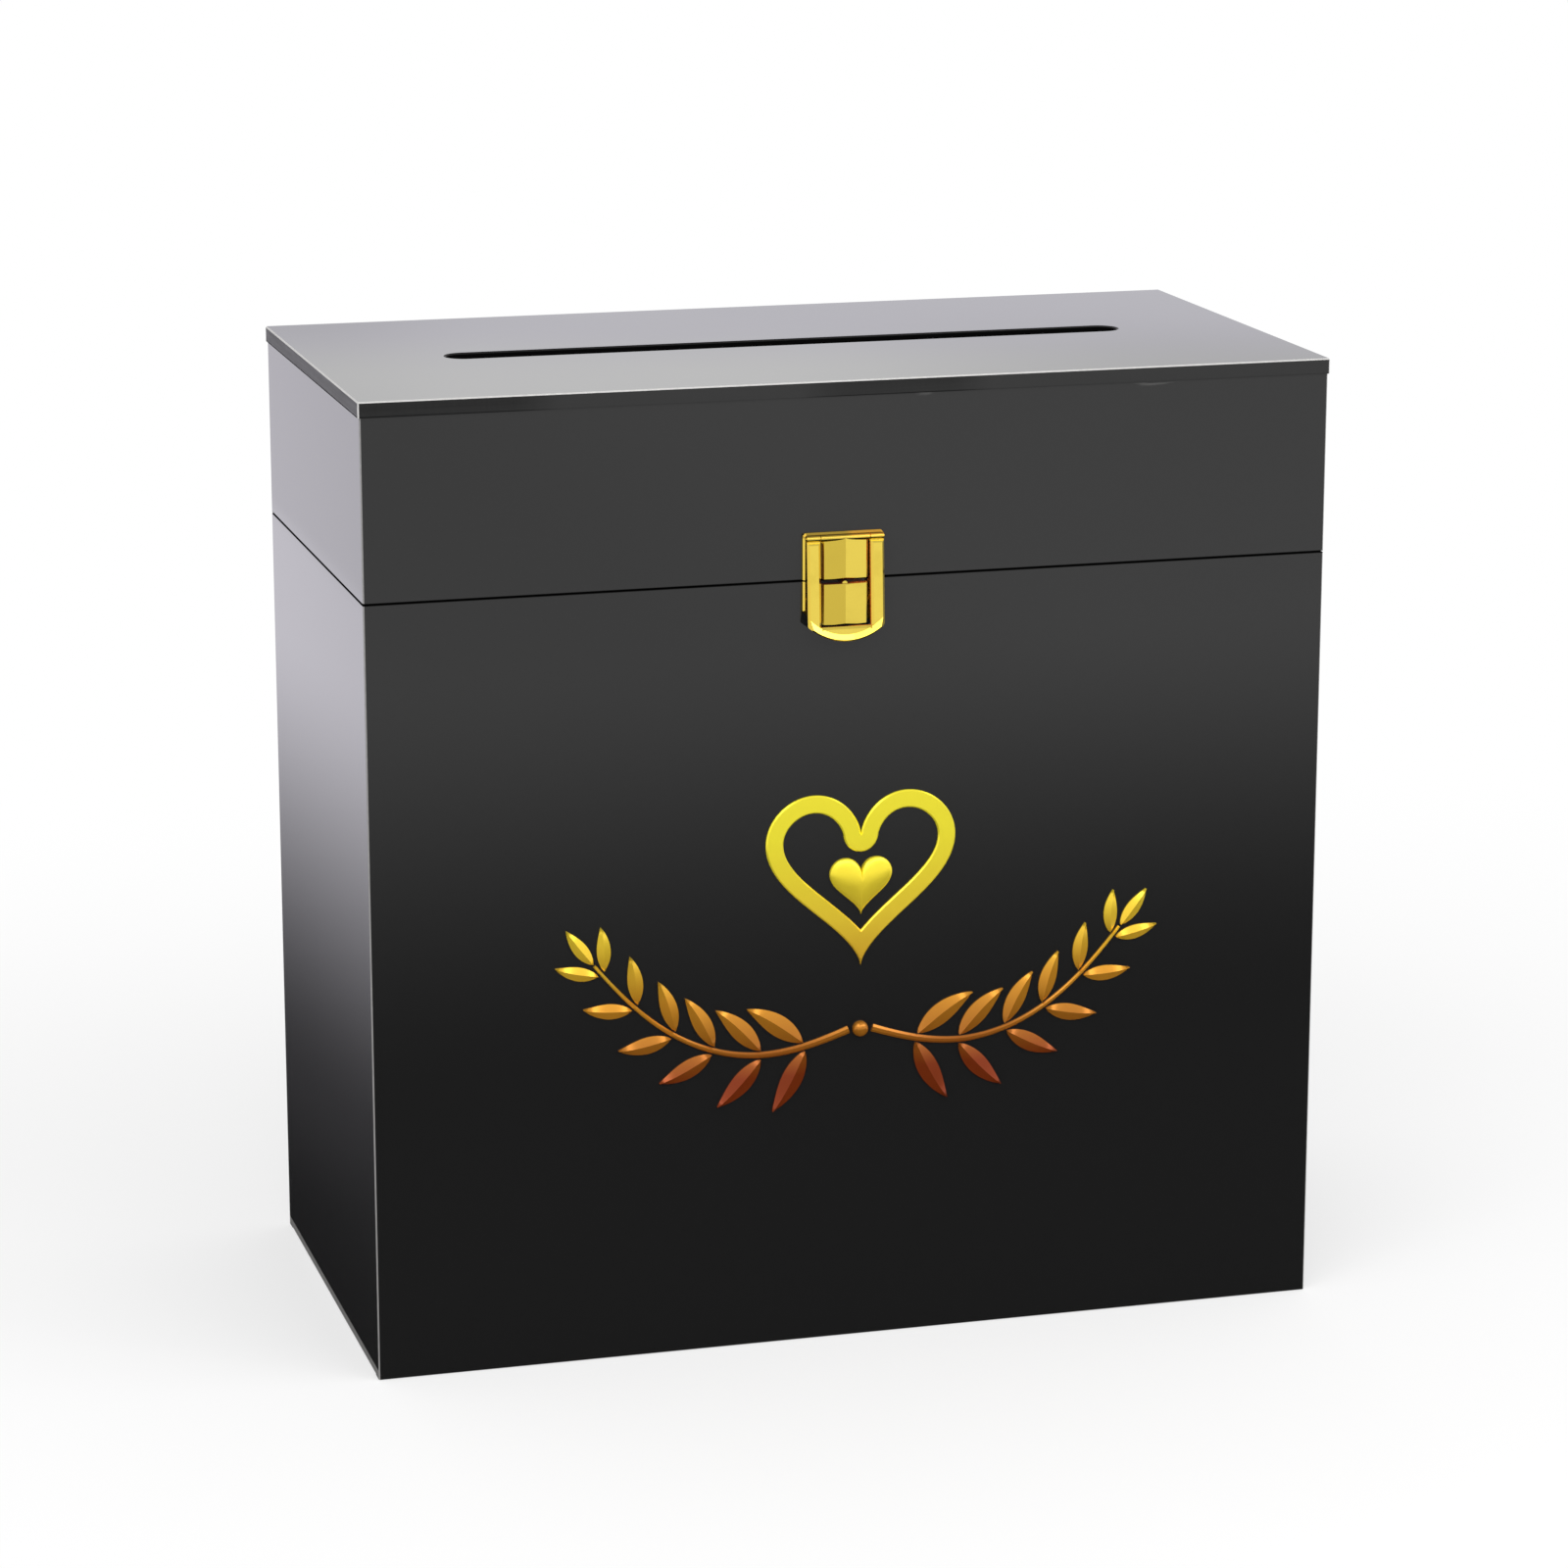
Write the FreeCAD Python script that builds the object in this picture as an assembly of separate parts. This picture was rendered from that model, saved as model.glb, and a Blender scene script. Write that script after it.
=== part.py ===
import FreeCAD, Part
import math
import os

# Card box of glossy acrylic sheet: a base, a hinged lid with a card slot, and a hasp clasp.
# Millimetres, +Z up. The front faces -Y, and the origin is the middle of the underside.

# Box
box_width = 253.2            # across the outer faces of the left and right walls
box_depth = 128.2            # across the outer faces of the front and back walls
base_wall_height = 202.2
lid_wall_height = 46.4
seam_gap = 0.4               # between the base rim and the lid walls when the lid is shut
wall_thickness = 4.0
bottom_thickness = 4.0
top_thickness = 4.0
top_overhang = 0.4           # how far the top plate passes the walls, all round
edge_chamfer = 0.35          # scraped outer corners of the sheet

# Card slot in the top plate
slot_length = 183.0
slot_width = 10.0
slot_chamfer = 0.4

# Butt hinges on the back, one to each side of the middle
hinge_spacing = 150.0        # between the middles of the two hinges
hinge_width = 25.0
leaf_height = 16.0           # from the pin axis to the far edge of a leaf
leaf_thickness = 0.9
knuckle_count = 3            # on each hinge, shared in turn by the two leaves
knuckle_gap = 0.2            # between neighbouring knuckles
knuckle_standoff = 0.3       # between the barrel and the wall
curl_slit = 0.25             # open line where the rolled sheet comes back to its leaf
hinge_pin_diameter = 2.0
hinge_pin_proud = 0.3        # pin past the barrel at each end
running_clearance = 0.05     # radial, pin in knuckle

# Screws and nuts of the hinges
screw_diameter = 2.0
screw_head_diameter = 3.8
screw_head_height = 0.9
screw_spacing = 15.0         # between the two screws of a leaf
screw_distance = 10.0        # from the pin axis
screw_end_proud = 0.6        # thread past the nut
hole_clearance = 0.1         # radial, screw or rivet in its hole
thread_clearance = 0.03      # radial, screw in its nut
nut_across_flats = 4.0
nut_height = 1.6

# Clasp on the front, across the seam. Heights here are measured out from the wall face.
clasp_offset = -3.5          # its middle, to the left of the middle of the box
clasp_width = 20.2           # of the flap
clasp_plate_width = 21.2
clasp_plate_thickness = 0.8
clasp_plate_bevel = 0.5
lid_plate_corner = 0.7       # cut off the top corners of the lid plate
catch_plate_corner = 3.0     # cut off the bottom corners of the catch plate
lid_plate_rise = 0.4         # top edge of the lid plate above the barrel
tile_width = 11.6
tile_height = 10.4
tile_front = 2.3             # height of a tile's face at its side edges
tile_ridge = 0.45            # extra height along the tile's middle line
tile_bevel = 0.25
lid_tile_setback = 0.5       # from the middle of the seam up to the lid tile
catch_tile_setback = 0.9     # from the middle of the seam down to the catch tile
catch_hook = 0.5             # undercut of the catch tile's lower edge
catch_tooth_radius = 0.7     # small round tooth on the catch tile's upper edge
flap_back = 1.5
flap_front = 3.0
flap_drop = 26.3             # from the flap's pin down to the lowest point of its lip
flap_sagitta = 3.9           # rise of the round lower edge at the sides
flap_bevel = 0.6
window_side_gap = 0.8        # between a tile and the flap's rails
window_bottom_gap = 0.4      # between the catch tile's hook and the flap's bar
lip_reach = 1.7              # width of the flared band along the round edge
lip_flare = 0.6              # how far the lip's face turns out
lip_nail_gap = 1.0           # how far the lip's back turns out
lip_bevel = 0.35             # along the lip's outer edge
flap_rest_angle = 3.0        # degrees the lowered flap stands out before it is pressed home
barrel_radius = 0.9          # outside of the clasp's hinge barrel
clasp_pin_diameter = 0.9
clasp_pin_proud = 0.2
clasp_pin_height = 1.85
rail_step = 0.1              # between the rails' top ends and the barrel
neck_thickness = 0.9         # of the web between a rail and its knuckle

# Rivets of the clasp
rivet_diameter = 1.8         # its outer end is flush with the plate
rivet_head_diameter = 4.6    # broad flat head inside the box
rivet_head_height = 0.8

# Worked out from the sizes above
half_width = box_width / 2
half_depth = box_depth / 2
seam_z = base_wall_height + seam_gap / 2
lid_bottom = base_wall_height + seam_gap
lid_wall_top = lid_bottom + lid_wall_height
total_height = lid_wall_top + top_thickness
hinge_bore_radius = hinge_pin_diameter / 2 + running_clearance
hinge_barrel_radius = hinge_bore_radius + leaf_thickness
hinge_axis_y = half_depth + knuckle_standoff + hinge_barrel_radius
knuckle_length = (hinge_width - (knuckle_count - 1) * knuckle_gap) / knuckle_count
clasp_half = clasp_width / 2
tile_half = tile_width / 2
window_half = tile_half + window_side_gap
lid_tile_bottom = seam_z + lid_tile_setback
catch_tile_top = seam_z - catch_tile_setback
catch_tile_bottom = catch_tile_top - tile_height
window_bottom = catch_tile_bottom - window_bottom_gap
clasp_pin_z = lid_tile_bottom + tile_height
clasp_bore_radius = clasp_pin_diameter / 2 + running_clearance
rivet_distance = (window_half + clasp_half) / 2
lid_plate_top = clasp_pin_z + barrel_radius + lid_plate_rise
lid_rivet_z = (lid_tile_bottom + lid_plate_top) / 2
catch_rivet_z = (catch_tile_bottom + catch_tile_top) / 2
tolerance = 1e-4
overcut = 1.0                # how far a cutter passes the faces that it opens


def vec(x, y, z):
    return FreeCAD.Vector(x, y, z)


def block(x0, x1, y0, y1, z0, z1):
    """Block between pairs of planes."""
    return Part.makeBox(x1 - x0, y1 - y0, z1 - z0, vec(x0, y0, z0))


def rod_x(radius, x0, x1, y, z):
    """Round bar along X."""
    return Part.makeCylinder(radius, x1 - x0, vec(x0, y, z), vec(1, 0, 0))


def rod_y(radius, x, y0, y1, z):
    """Round bar along Y."""
    return Part.makeCylinder(radius, y1 - y0, vec(x, y0, z), vec(0, 1, 0))


def wire_face(points):
    """Face inside straight edges and, where an item is a pair (through, end), arcs."""
    start = points[0]
    here = start
    edges = []
    for item in points[1:] + [start]:
        if isinstance(item, tuple):
            edges.append(Part.Arc(here, item[0], item[1]).toShape())
            here = item[1]
        elif (item - here).Length > tolerance:
            edges.append(Part.makeLine(here, item))
            here = item
    return Part.Face(Part.Wire(edges))


def at(low, high, value):
    """True where an extent lies in the plane at value."""
    return abs(low - value) < tolerance and abs(high - value) < tolerance


def chamfer_where(shape, size, wanted):
    """Chamfer the edges whose bounding box passes the test."""
    return shape.makeChamfer(size, [edge for edge in shape.Edges if wanted(edge.BoundBox)])


def front_y(height):
    """Y of a point that stands out from the front walls by a height."""
    return -half_depth - height


def clasp_x(across):
    """X of a point across the clasp from its middle line."""
    return clasp_offset + across


# Sheet panels


def cross_wall(face_y, inner_y, z0, z1, holes):
    """Front or back wall over the full width, scraped along its upright corners and drilled."""
    y0 = min(face_y, inner_y)
    y1 = max(face_y, inner_y)
    wall = block(-half_width, half_width, y0, y1, z0, z1)
    wall = chamfer_where(
        wall, edge_chamfer, lambda b: at(b.YMin, b.YMax, face_y) and b.XLength < tolerance
    )
    for x, z, diameter in holes:
        wall = wall.cut(rod_y(diameter / 2 + hole_clearance, x, y0 - overcut, y1 + overcut, z))
    return wall


def side_wall(face_x, inner_x, z0, z1, scraped):
    """Left or right wall between the cross walls, scraped along one rim of its outer face."""
    inner_y = half_depth - wall_thickness
    wall = block(min(face_x, inner_x), max(face_x, inner_x), -inner_y, inner_y, z0, z1)
    return chamfer_where(
        wall, edge_chamfer, lambda b: at(b.XMin, b.XMax, face_x) and at(b.ZMin, b.ZMax, scraped)
    )


def bottom_panel():
    """Floor of the base, let in between the four walls."""
    x = half_width - wall_thickness
    y = half_depth - wall_thickness
    return block(-x, x, -y, y, 0, bottom_thickness)


def card_slot():
    """Cutter for the long slot with full-round ends."""
    reach = (slot_length - slot_width) / 2
    radius = slot_width / 2
    z = lid_wall_top - overcut
    profile = wire_face([
        vec(-reach, radius, z),
        vec(reach, radius, z),
        (vec(reach + radius, 0, z), vec(reach, -radius, z)),
        vec(-reach, -radius, z),
        (vec(-reach - radius, 0, z), vec(-reach, radius, z)),
    ])
    return profile.extrude(vec(0, 0, top_thickness + 2 * overcut))


def lid_top_panel():
    """Top plate with the card slot, its upper edges scraped."""
    x = half_width + top_overhang
    y = half_depth + top_overhang
    plate = block(-x, x, -y, y, lid_wall_top, total_height)
    plate = chamfer_where(
        plate, edge_chamfer, lambda b: at(b.ZMin, b.ZMax, total_height) or b.ZLength > tolerance
    )
    plate = plate.cut(card_slot())
    return chamfer_where(
        plate,
        slot_chamfer,
        lambda b: at(b.ZMin, b.ZMax, total_height) and max(-b.YMin, b.YMax) < slot_width,
    )


# Butt hinges


def hinge_middles():
    return [("left", -hinge_spacing / 2), ("right", hinge_spacing / 2)]


def screw_xs(middle):
    return [middle - screw_spacing / 2, middle + screw_spacing / 2]


def knuckle_span(middle, index):
    """Ends of one knuckle along X."""
    start = middle - hinge_width / 2 + index * (knuckle_length + knuckle_gap)
    return start, start + knuckle_length


def hinge_leaf(middle, up):
    """Leaf that runs up (1) or down (-1) from the pin, rolled round it at its own knuckles."""
    first_own = 1 if up > 0 else 0
    far_z = seam_z + up * leaf_height
    face_y = half_depth + leaf_thickness
    leaf = block(
        middle - hinge_width / 2, middle + hinge_width / 2,
        half_depth, face_y, min(seam_z, far_z), max(seam_z, far_z),
    )
    clear = hinge_barrel_radius + knuckle_gap
    for index in range(knuckle_count):
        x0, x1 = knuckle_span(middle, index)
        if index % 2 == first_own % 2:
            leaf = leaf.fuse(rod_x(hinge_barrel_radius, x0, x1, hinge_axis_y, seam_z))
        else:
            leaf = leaf.cut(block(
                x0 - knuckle_gap, x1 + knuckle_gap, half_depth - overcut, face_y + overcut,
                seam_z - clear, seam_z + clear,
            ))
    leaf = leaf.cut(rod_x(
        hinge_bore_radius, middle - hinge_width, middle + hinge_width, hinge_axis_y, seam_z
    ))
    slit_z = [seam_z + up * hinge_pin_diameter / 4, seam_z + up * hinge_barrel_radius]
    leaf = leaf.cut(block(
        middle - hinge_width, middle + hinge_width,
        face_y, face_y + curl_slit, min(slit_z), max(slit_z),
    ))
    radius = screw_diameter / 2 + hole_clearance
    for x in screw_xs(middle):
        leaf = leaf.cut(rod_y(
            radius, x, half_depth - overcut, face_y + overcut, seam_z + up * screw_distance
        ))
    return leaf.removeSplitter()


def hinge_pin(middle):
    """Pin of one hinge."""
    end = hinge_width / 2 + hinge_pin_proud
    return rod_x(hinge_pin_diameter / 2, middle - end, middle + end, hinge_axis_y, seam_z)


def hinge_screw(x, z):
    """Cheese-head screw from outside through leaf, wall and nut, without its thread and drive."""
    seat = half_depth + leaf_thickness
    tip = half_depth - wall_thickness - nut_height - screw_end_proud
    head = screw_head_diameter / 2
    shank = screw_diameter / 2
    profile = wire_face([
        vec(x, tip, z),
        vec(x + shank, tip, z),
        vec(x + shank, seat, z),
        vec(x + head, seat, z),
        vec(x + head, seat + screw_head_height, z),
        vec(x, seat + screw_head_height, z),
    ])
    return profile.revolve(vec(x, 0, z), vec(0, 1, 0), 360)


def hinge_nut(x, z):
    """Hexagon nut on the inside of the back wall."""
    inner = half_depth - wall_thickness
    corner = nut_across_flats / math.sqrt(3)
    angles = [math.radians(60 * step) for step in range(6)]
    corners = [vec(x + corner * math.cos(a), inner, z + corner * math.sin(a)) for a in angles]
    nut = wire_face(corners).extrude(vec(0, -nut_height, 0))
    bore = screw_diameter / 2 + thread_clearance
    return nut.cut(rod_y(bore, x, inner - nut_height - overcut, inner + overcut, z))


def hinge_fasteners(make, up):
    """Group of the like fasteners of both hinges on one side of the seam."""
    return Part.makeCompound([
        make(x, seam_z + up * screw_distance) for _, middle in hinge_middles() for x in screw_xs(middle)
    ])


def hinge_holes(up):
    return [
        (x, seam_z + up * screw_distance, screw_diameter)
        for _, middle in hinge_middles() for x in screw_xs(middle)
    ]


# Clasp


def clasp_tile(z0, z1, hook, top_bevel):
    """Raised tile with a shallow middle ridge and bevelled edges; hook undercuts its lower edge."""
    ridge = tile_front + tile_ridge
    across = wire_face([
        vec(clasp_x(-tile_half), front_y(0), z0),
        vec(clasp_x(-tile_half), front_y(tile_front - tile_bevel), z0),
        vec(clasp_x(-tile_half + tile_bevel), front_y(tile_front), z0),
        vec(clasp_x(0), front_y(ridge), z0),
        vec(clasp_x(tile_half - tile_bevel), front_y(tile_front), z0),
        vec(clasp_x(tile_half), front_y(tile_front - tile_bevel), z0),
        vec(clasp_x(tile_half), front_y(0), z0),
    ]).extrude(vec(0, 0, z1 - z0))
    x = clasp_x(-clasp_half)
    upright = wire_face([
        vec(x, front_y(0), z0 + hook),
        vec(x, front_y(clasp_plate_thickness), z0 + hook),
        vec(x, front_y(ridge - tile_bevel), z0),
        vec(x, front_y(ridge), z0 + tile_bevel),
        vec(x, front_y(ridge), z1 - top_bevel),
        vec(x, front_y(ridge - top_bevel), z1),
        vec(x, front_y(0), z1),
    ]).extrude(vec(clasp_width, 0, 0))
    return across.common(upright)


def clasp_plate(seam_edge, tile_edge, far_edge, corner):
    """Back plate of the clasp on the wall, bevelled away from the seam and open beside its tile."""
    half = clasp_plate_width / 2
    face = front_y(clasp_plate_thickness)
    z0, z1 = sorted((seam_edge, far_edge))
    plate = block(clasp_x(-half), clasp_x(half), face, front_y(0), z0, z1)
    plate = chamfer_where(
        plate, corner, lambda b: at(b.ZMin, b.ZMax, far_edge) and b.XLength < tolerance
    )
    plate = chamfer_where(
        plate, clasp_plate_bevel,
        lambda b: at(b.YMin, b.YMax, face) and not at(b.ZMin, b.ZMax, seam_edge),
    )
    z0, z1 = sorted((seam_edge, tile_edge))
    return plate.cut(block(
        clasp_x(-window_half), clasp_x(window_half), face - overcut, front_y(-overcut), z0, z1
    ))


def rivet_xs():
    return [clasp_x(-rivet_distance), clasp_x(rivet_distance)]


def drill_rivets(plate, z):
    """Rivet holes through a clasp plate."""
    radius = rivet_diameter / 2 + hole_clearance
    for x in rivet_xs():
        plate = plate.cut(rod_y(
            radius, x, front_y(clasp_plate_thickness + overcut), front_y(-overcut), z
        ))
    return plate


def clasp_barrel(across0, across1):
    """Hinge knuckle of the clasp, before it is bored."""
    return rod_x(
        barrel_radius, clasp_x(across0), clasp_x(across1), front_y(clasp_pin_height), clasp_pin_z
    )


def clasp_bore():
    return rod_x(
        clasp_bore_radius, clasp_x(-clasp_width), clasp_x(clasp_width),
        front_y(clasp_pin_height), clasp_pin_z,
    )


def clasp_lid_plate():
    """Plate on the lid with the upper tile, which runs up into the middle knuckle."""
    plate = clasp_plate(lid_bottom, lid_tile_bottom, lid_plate_top, lid_plate_corner)
    plate = drill_rivets(plate, lid_rivet_z)
    tile = clasp_tile(lid_tile_bottom, clasp_pin_z, 0, 0)
    middle = window_half - knuckle_gap
    knuckle = clasp_barrel(-middle, middle)
    return plate.fuse([tile, knuckle]).cut(clasp_bore()).removeSplitter()


def clasp_catch_plate():
    """Plate on the base with the hooked lower tile and its small tooth."""
    low = catch_tile_bottom + catch_hook
    plate = clasp_plate(base_wall_height, catch_tile_top, low, catch_plate_corner)
    plate = drill_rivets(plate, catch_rivet_z)
    tile = clasp_tile(catch_tile_bottom, catch_tile_top, catch_hook, tile_bevel)
    tooth = rod_y(
        catch_tooth_radius, clasp_x(0), front_y(tile_front - tile_bevel), front_y(0), catch_tile_top
    )
    return plate.fuse([tile, tooth]).removeSplitter()


def flap_lip(radius, centre_z):
    """Flared band along the round lower edge, turned about the middle of its arc."""
    x = clasp_x(0)
    inner = radius - lip_reach
    root = inner - flap_bevel
    tip = radius - lip_bevel

    def point(distance, height):
        return vec(x, front_y(height), centre_z - distance)

    profile = wire_face([
        point(root, flap_front),
        point(root, flap_back),
        point(inner, flap_back),
        point(radius, flap_back + lip_nail_gap),
        point(radius, flap_front + lip_flare - lip_bevel),
        point(tip, flap_front + lip_flare),
        point(inner, flap_front),
    ])
    half_turn = math.degrees(math.asin(min(1, clasp_half / root)))
    profile.rotate(vec(x, 0, centre_z), vec(0, 1, 0), -half_turn)
    return profile.revolve(vec(x, 0, centre_z), vec(0, 1, 0), 2 * half_turn)


def bevel_profile(half, slope, z):
    """Section of a bevelled bar, or with slope 1 of a bevelled opening, past the lip's height."""
    bevel_start = flap_front - flap_bevel
    margin = flap_bevel + 2 * lip_flare
    return wire_face([
        vec(clasp_x(-half), front_y(0), z),
        vec(clasp_x(-half), front_y(bevel_start), z),
        vec(clasp_x(-half - slope * margin), front_y(bevel_start + margin), z),
        vec(clasp_x(half + slope * margin), front_y(bevel_start + margin), z),
        vec(clasp_x(half), front_y(bevel_start), z),
        vec(clasp_x(half), front_y(0), z),
    ])


def bevel_cut(half, z):
    """Wedge that bevels the front of an edge whose upper face is at z."""
    start = flap_front - flap_bevel
    margin = 2 * flap_bevel
    x = clasp_x(-half)
    wedge = wire_face([
        vec(x, front_y(start), z),
        vec(x, front_y(start + margin), z - margin),
        vec(x, front_y(start + margin), z),
    ])
    return wedge.extrude(vec(2 * half, 0, 0))


def clasp_flap():
    """Shield-shaped frame round the tiles, hung on the clasp pin, at its rest angle."""
    radius = (clasp_half ** 2 + flap_sagitta ** 2) / (2 * flap_sagitta)
    bottom = clasp_pin_z - flap_drop
    centre_z = bottom + radius
    inner = radius - lip_reach
    rail_top = clasp_pin_z - barrel_radius - rail_step
    side_end = centre_z - math.sqrt(inner ** 2 - clasp_half ** 2)
    y = front_y(flap_back)
    shield = wire_face([
        vec(clasp_x(-clasp_half), y, rail_top),
        vec(clasp_x(clasp_half), y, rail_top),
        vec(clasp_x(clasp_half), y, side_end),
        (vec(clasp_x(0), y, centre_z - inner), vec(clasp_x(-clasp_half), y, side_end)),
    ])
    frame = shield.extrude(vec(0, flap_back - flap_front, 0))
    frame = frame.fuse(flap_lip(radius, centre_z))
    height = vec(0, 0, 2 * flap_drop)
    frame = frame.common(bevel_profile(clasp_half, -1, bottom - flap_drop / 2).extrude(height))
    frame = frame.cut(bevel_profile(window_half, 1, window_bottom).extrude(height))
    frame = frame.cut([bevel_cut(window_half, window_bottom), bevel_cut(clasp_half, rail_top)])
    for side in (-1, 1):
        across = sorted((side * window_half, side * clasp_half))
        neck = block(
            clasp_x(across[0]), clasp_x(across[1]),
            front_y(clasp_pin_height + neck_thickness / 2),
            front_y(clasp_pin_height - neck_thickness / 2),
            rail_top - barrel_radius / 2, clasp_pin_z,
        )
        frame = frame.fuse([clasp_barrel(*across), neck])
    frame = frame.cut(clasp_bore()).removeSplitter()
    frame.rotate(vec(0, front_y(clasp_pin_height), clasp_pin_z), vec(-1, 0, 0), flap_rest_angle)
    return frame


def clasp_pin():
    """Pin of the clasp."""
    end = clasp_half + clasp_pin_proud
    return rod_x(
        clasp_pin_diameter / 2, clasp_x(-end), clasp_x(end), front_y(clasp_pin_height), clasp_pin_z
    )


def clasp_rivet(x, z):
    """Rivet from inside through wall and plate, closed flush with the plate."""
    inside = front_y(-wall_thickness)
    face = front_y(clasp_plate_thickness)
    shank = rivet_diameter / 2
    head = rivet_head_diameter / 2
    profile = wire_face([
        vec(x, face, z),
        vec(x + shank, face, z),
        vec(x + shank, inside, z),
        vec(x + head, inside, z),
        vec(x + head, inside + rivet_head_height, z),
        vec(x, inside + rivet_head_height, z),
    ])
    return profile.revolve(vec(x, 0, z), vec(0, 1, 0), 360)


def clasp_rivets(z):
    """Both rivets of one clasp plate."""
    return Part.makeCompound([clasp_rivet(x, z) for x in rivet_xs()])


def rivet_holes(z):
    return [(x, z, rivet_diameter) for x in rivet_xs()]


# Every piece under its own name

inner_x = half_width - wall_thickness
inner_y = half_depth - wall_thickness

pieces = {
    "front_panel": cross_wall(-half_depth, -inner_y, 0, base_wall_height, rivet_holes(catch_rivet_z)),
    "back_panel": cross_wall(half_depth, inner_y, 0, base_wall_height, hinge_holes(-1)),
    "left_panel": side_wall(-half_width, -inner_x, 0, base_wall_height, 0),
    "right_panel": side_wall(half_width, inner_x, 0, base_wall_height, 0),
    "bottom_panel": bottom_panel(),
    "lid_top_panel": lid_top_panel(),
    "lid_front_panel": cross_wall(
        -half_depth, -inner_y, lid_bottom, lid_wall_top, rivet_holes(lid_rivet_z)
    ),
    "lid_back_panel": cross_wall(half_depth, inner_y, lid_bottom, lid_wall_top, hinge_holes(1)),
    "lid_left_panel": side_wall(-half_width, -inner_x, lid_bottom, lid_wall_top, lid_wall_top),
    "lid_right_panel": side_wall(half_width, inner_x, lid_bottom, lid_wall_top, lid_wall_top),
    "hinge_base_screws": hinge_fasteners(hinge_screw, -1),
    "hinge_lid_screws": hinge_fasteners(hinge_screw, 1),
    "hinge_base_nuts": hinge_fasteners(hinge_nut, -1),
    "hinge_lid_nuts": hinge_fasteners(hinge_nut, 1),
    "clasp_lid_plate": clasp_lid_plate(),
    "clasp_catch_plate": clasp_catch_plate(),
    "clasp_flap": clasp_flap(),
    "clasp_pin": clasp_pin(),
    "clasp_lid_rivets": clasp_rivets(lid_rivet_z),
    "clasp_catch_rivets": clasp_rivets(catch_rivet_z),
}
for side, middle in hinge_middles():
    pieces[f"hinge_{side}_base_leaf"] = hinge_leaf(middle, -1)
    pieces[f"hinge_{side}_lid_leaf"] = hinge_leaf(middle, 1)
    pieces[f"hinge_{side}_pin"] = hinge_pin(middle)

os.makedirs("parts", exist_ok=True)
for name, shape in pieces.items():
    shape.exportStep(f"parts/{name}.step")
    print(name, len(shape.Solids), shape.isValid(), round(shape.Volume, 2))
print("hinge axis", hinge_axis_y, seam_z)
print("clasp axis", front_y(clasp_pin_height), clasp_pin_z)
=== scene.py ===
import math

import bmesh
import bpy
from bpy.props import FloatProperty, FloatVectorProperty, IntProperty, PointerProperty
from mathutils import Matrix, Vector


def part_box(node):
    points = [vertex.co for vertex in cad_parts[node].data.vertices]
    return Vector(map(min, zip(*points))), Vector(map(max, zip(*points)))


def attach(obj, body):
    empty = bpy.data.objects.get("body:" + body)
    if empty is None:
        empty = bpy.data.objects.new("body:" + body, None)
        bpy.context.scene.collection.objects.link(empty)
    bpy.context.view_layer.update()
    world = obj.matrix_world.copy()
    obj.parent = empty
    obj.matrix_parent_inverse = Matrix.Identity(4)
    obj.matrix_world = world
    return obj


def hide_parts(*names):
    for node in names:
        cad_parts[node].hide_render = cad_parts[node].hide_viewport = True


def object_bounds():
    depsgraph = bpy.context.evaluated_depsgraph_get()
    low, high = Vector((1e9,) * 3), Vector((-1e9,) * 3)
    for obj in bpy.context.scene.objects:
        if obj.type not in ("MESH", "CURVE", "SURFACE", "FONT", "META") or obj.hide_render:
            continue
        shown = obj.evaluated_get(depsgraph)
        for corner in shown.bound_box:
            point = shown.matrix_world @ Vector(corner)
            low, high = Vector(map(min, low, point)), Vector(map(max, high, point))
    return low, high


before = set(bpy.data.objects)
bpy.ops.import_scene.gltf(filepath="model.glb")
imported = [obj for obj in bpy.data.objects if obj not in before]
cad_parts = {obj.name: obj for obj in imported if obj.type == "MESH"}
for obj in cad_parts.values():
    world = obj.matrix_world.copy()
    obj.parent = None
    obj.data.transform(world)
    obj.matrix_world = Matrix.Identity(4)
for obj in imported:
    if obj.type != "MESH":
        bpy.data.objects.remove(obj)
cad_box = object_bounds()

bl_info = {
    "name": "Card Box",
    "version": (1, 0, 0),
    "blender": (4, 5, 0),
    "location": "View3D > Sidebar > Card Box",
    "description": "Finishes, fasteners, ornament and studio for a hinged acrylic card box",
    "category": "Object",
}

MM = 0.001

BASE_WALLS = ("front_panel", "back_panel", "left_panel", "right_panel", "bottom_panel")
LID_WALLS = ("lid_front_panel", "lid_back_panel", "lid_left_panel", "lid_right_panel")
LEAVES = (
    "hinge_left_base_leaf", "hinge_left_lid_leaf", "hinge_right_base_leaf", "hinge_right_lid_leaf",
)
HINGE_PINS = ("hinge_left_pin", "hinge_right_pin")
CLASP = ("clasp_lid_plate", "clasp_catch_plate", "clasp_flap", "clasp_pin")

FRONT_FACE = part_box("front_panel")[0].y
SEAM = (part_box("front_panel")[1].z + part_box("lid_front_panel")[0].z) / 2
PLATE_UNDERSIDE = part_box("lid_top_panel")[0].z
FASTENERS_APART = 6 * MM  # vertices further apart along X belong to two fasteners
BLACK = (0.0, 0.0, 0.0)


# Node trees written as expressions


class Value:
    """A socket of a node tree. Arithmetic on it adds Math nodes to the tree."""

    def __init__(self, tree, socket):
        self.tree = tree
        self.socket = socket

    def __add__(self, other):
        return self.tree.maths("ADD", self, other)

    def __sub__(self, other):
        return self.tree.maths("SUBTRACT", self, other)

    def __rsub__(self, other):
        return self.tree.maths("SUBTRACT", other, self)

    def __mul__(self, other):
        return self.tree.maths("MULTIPLY", self, other)

    def __abs__(self):
        return self.tree.maths("ABSOLUTE", self)

    __radd__ = __add__
    __rmul__ = __mul__


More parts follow.
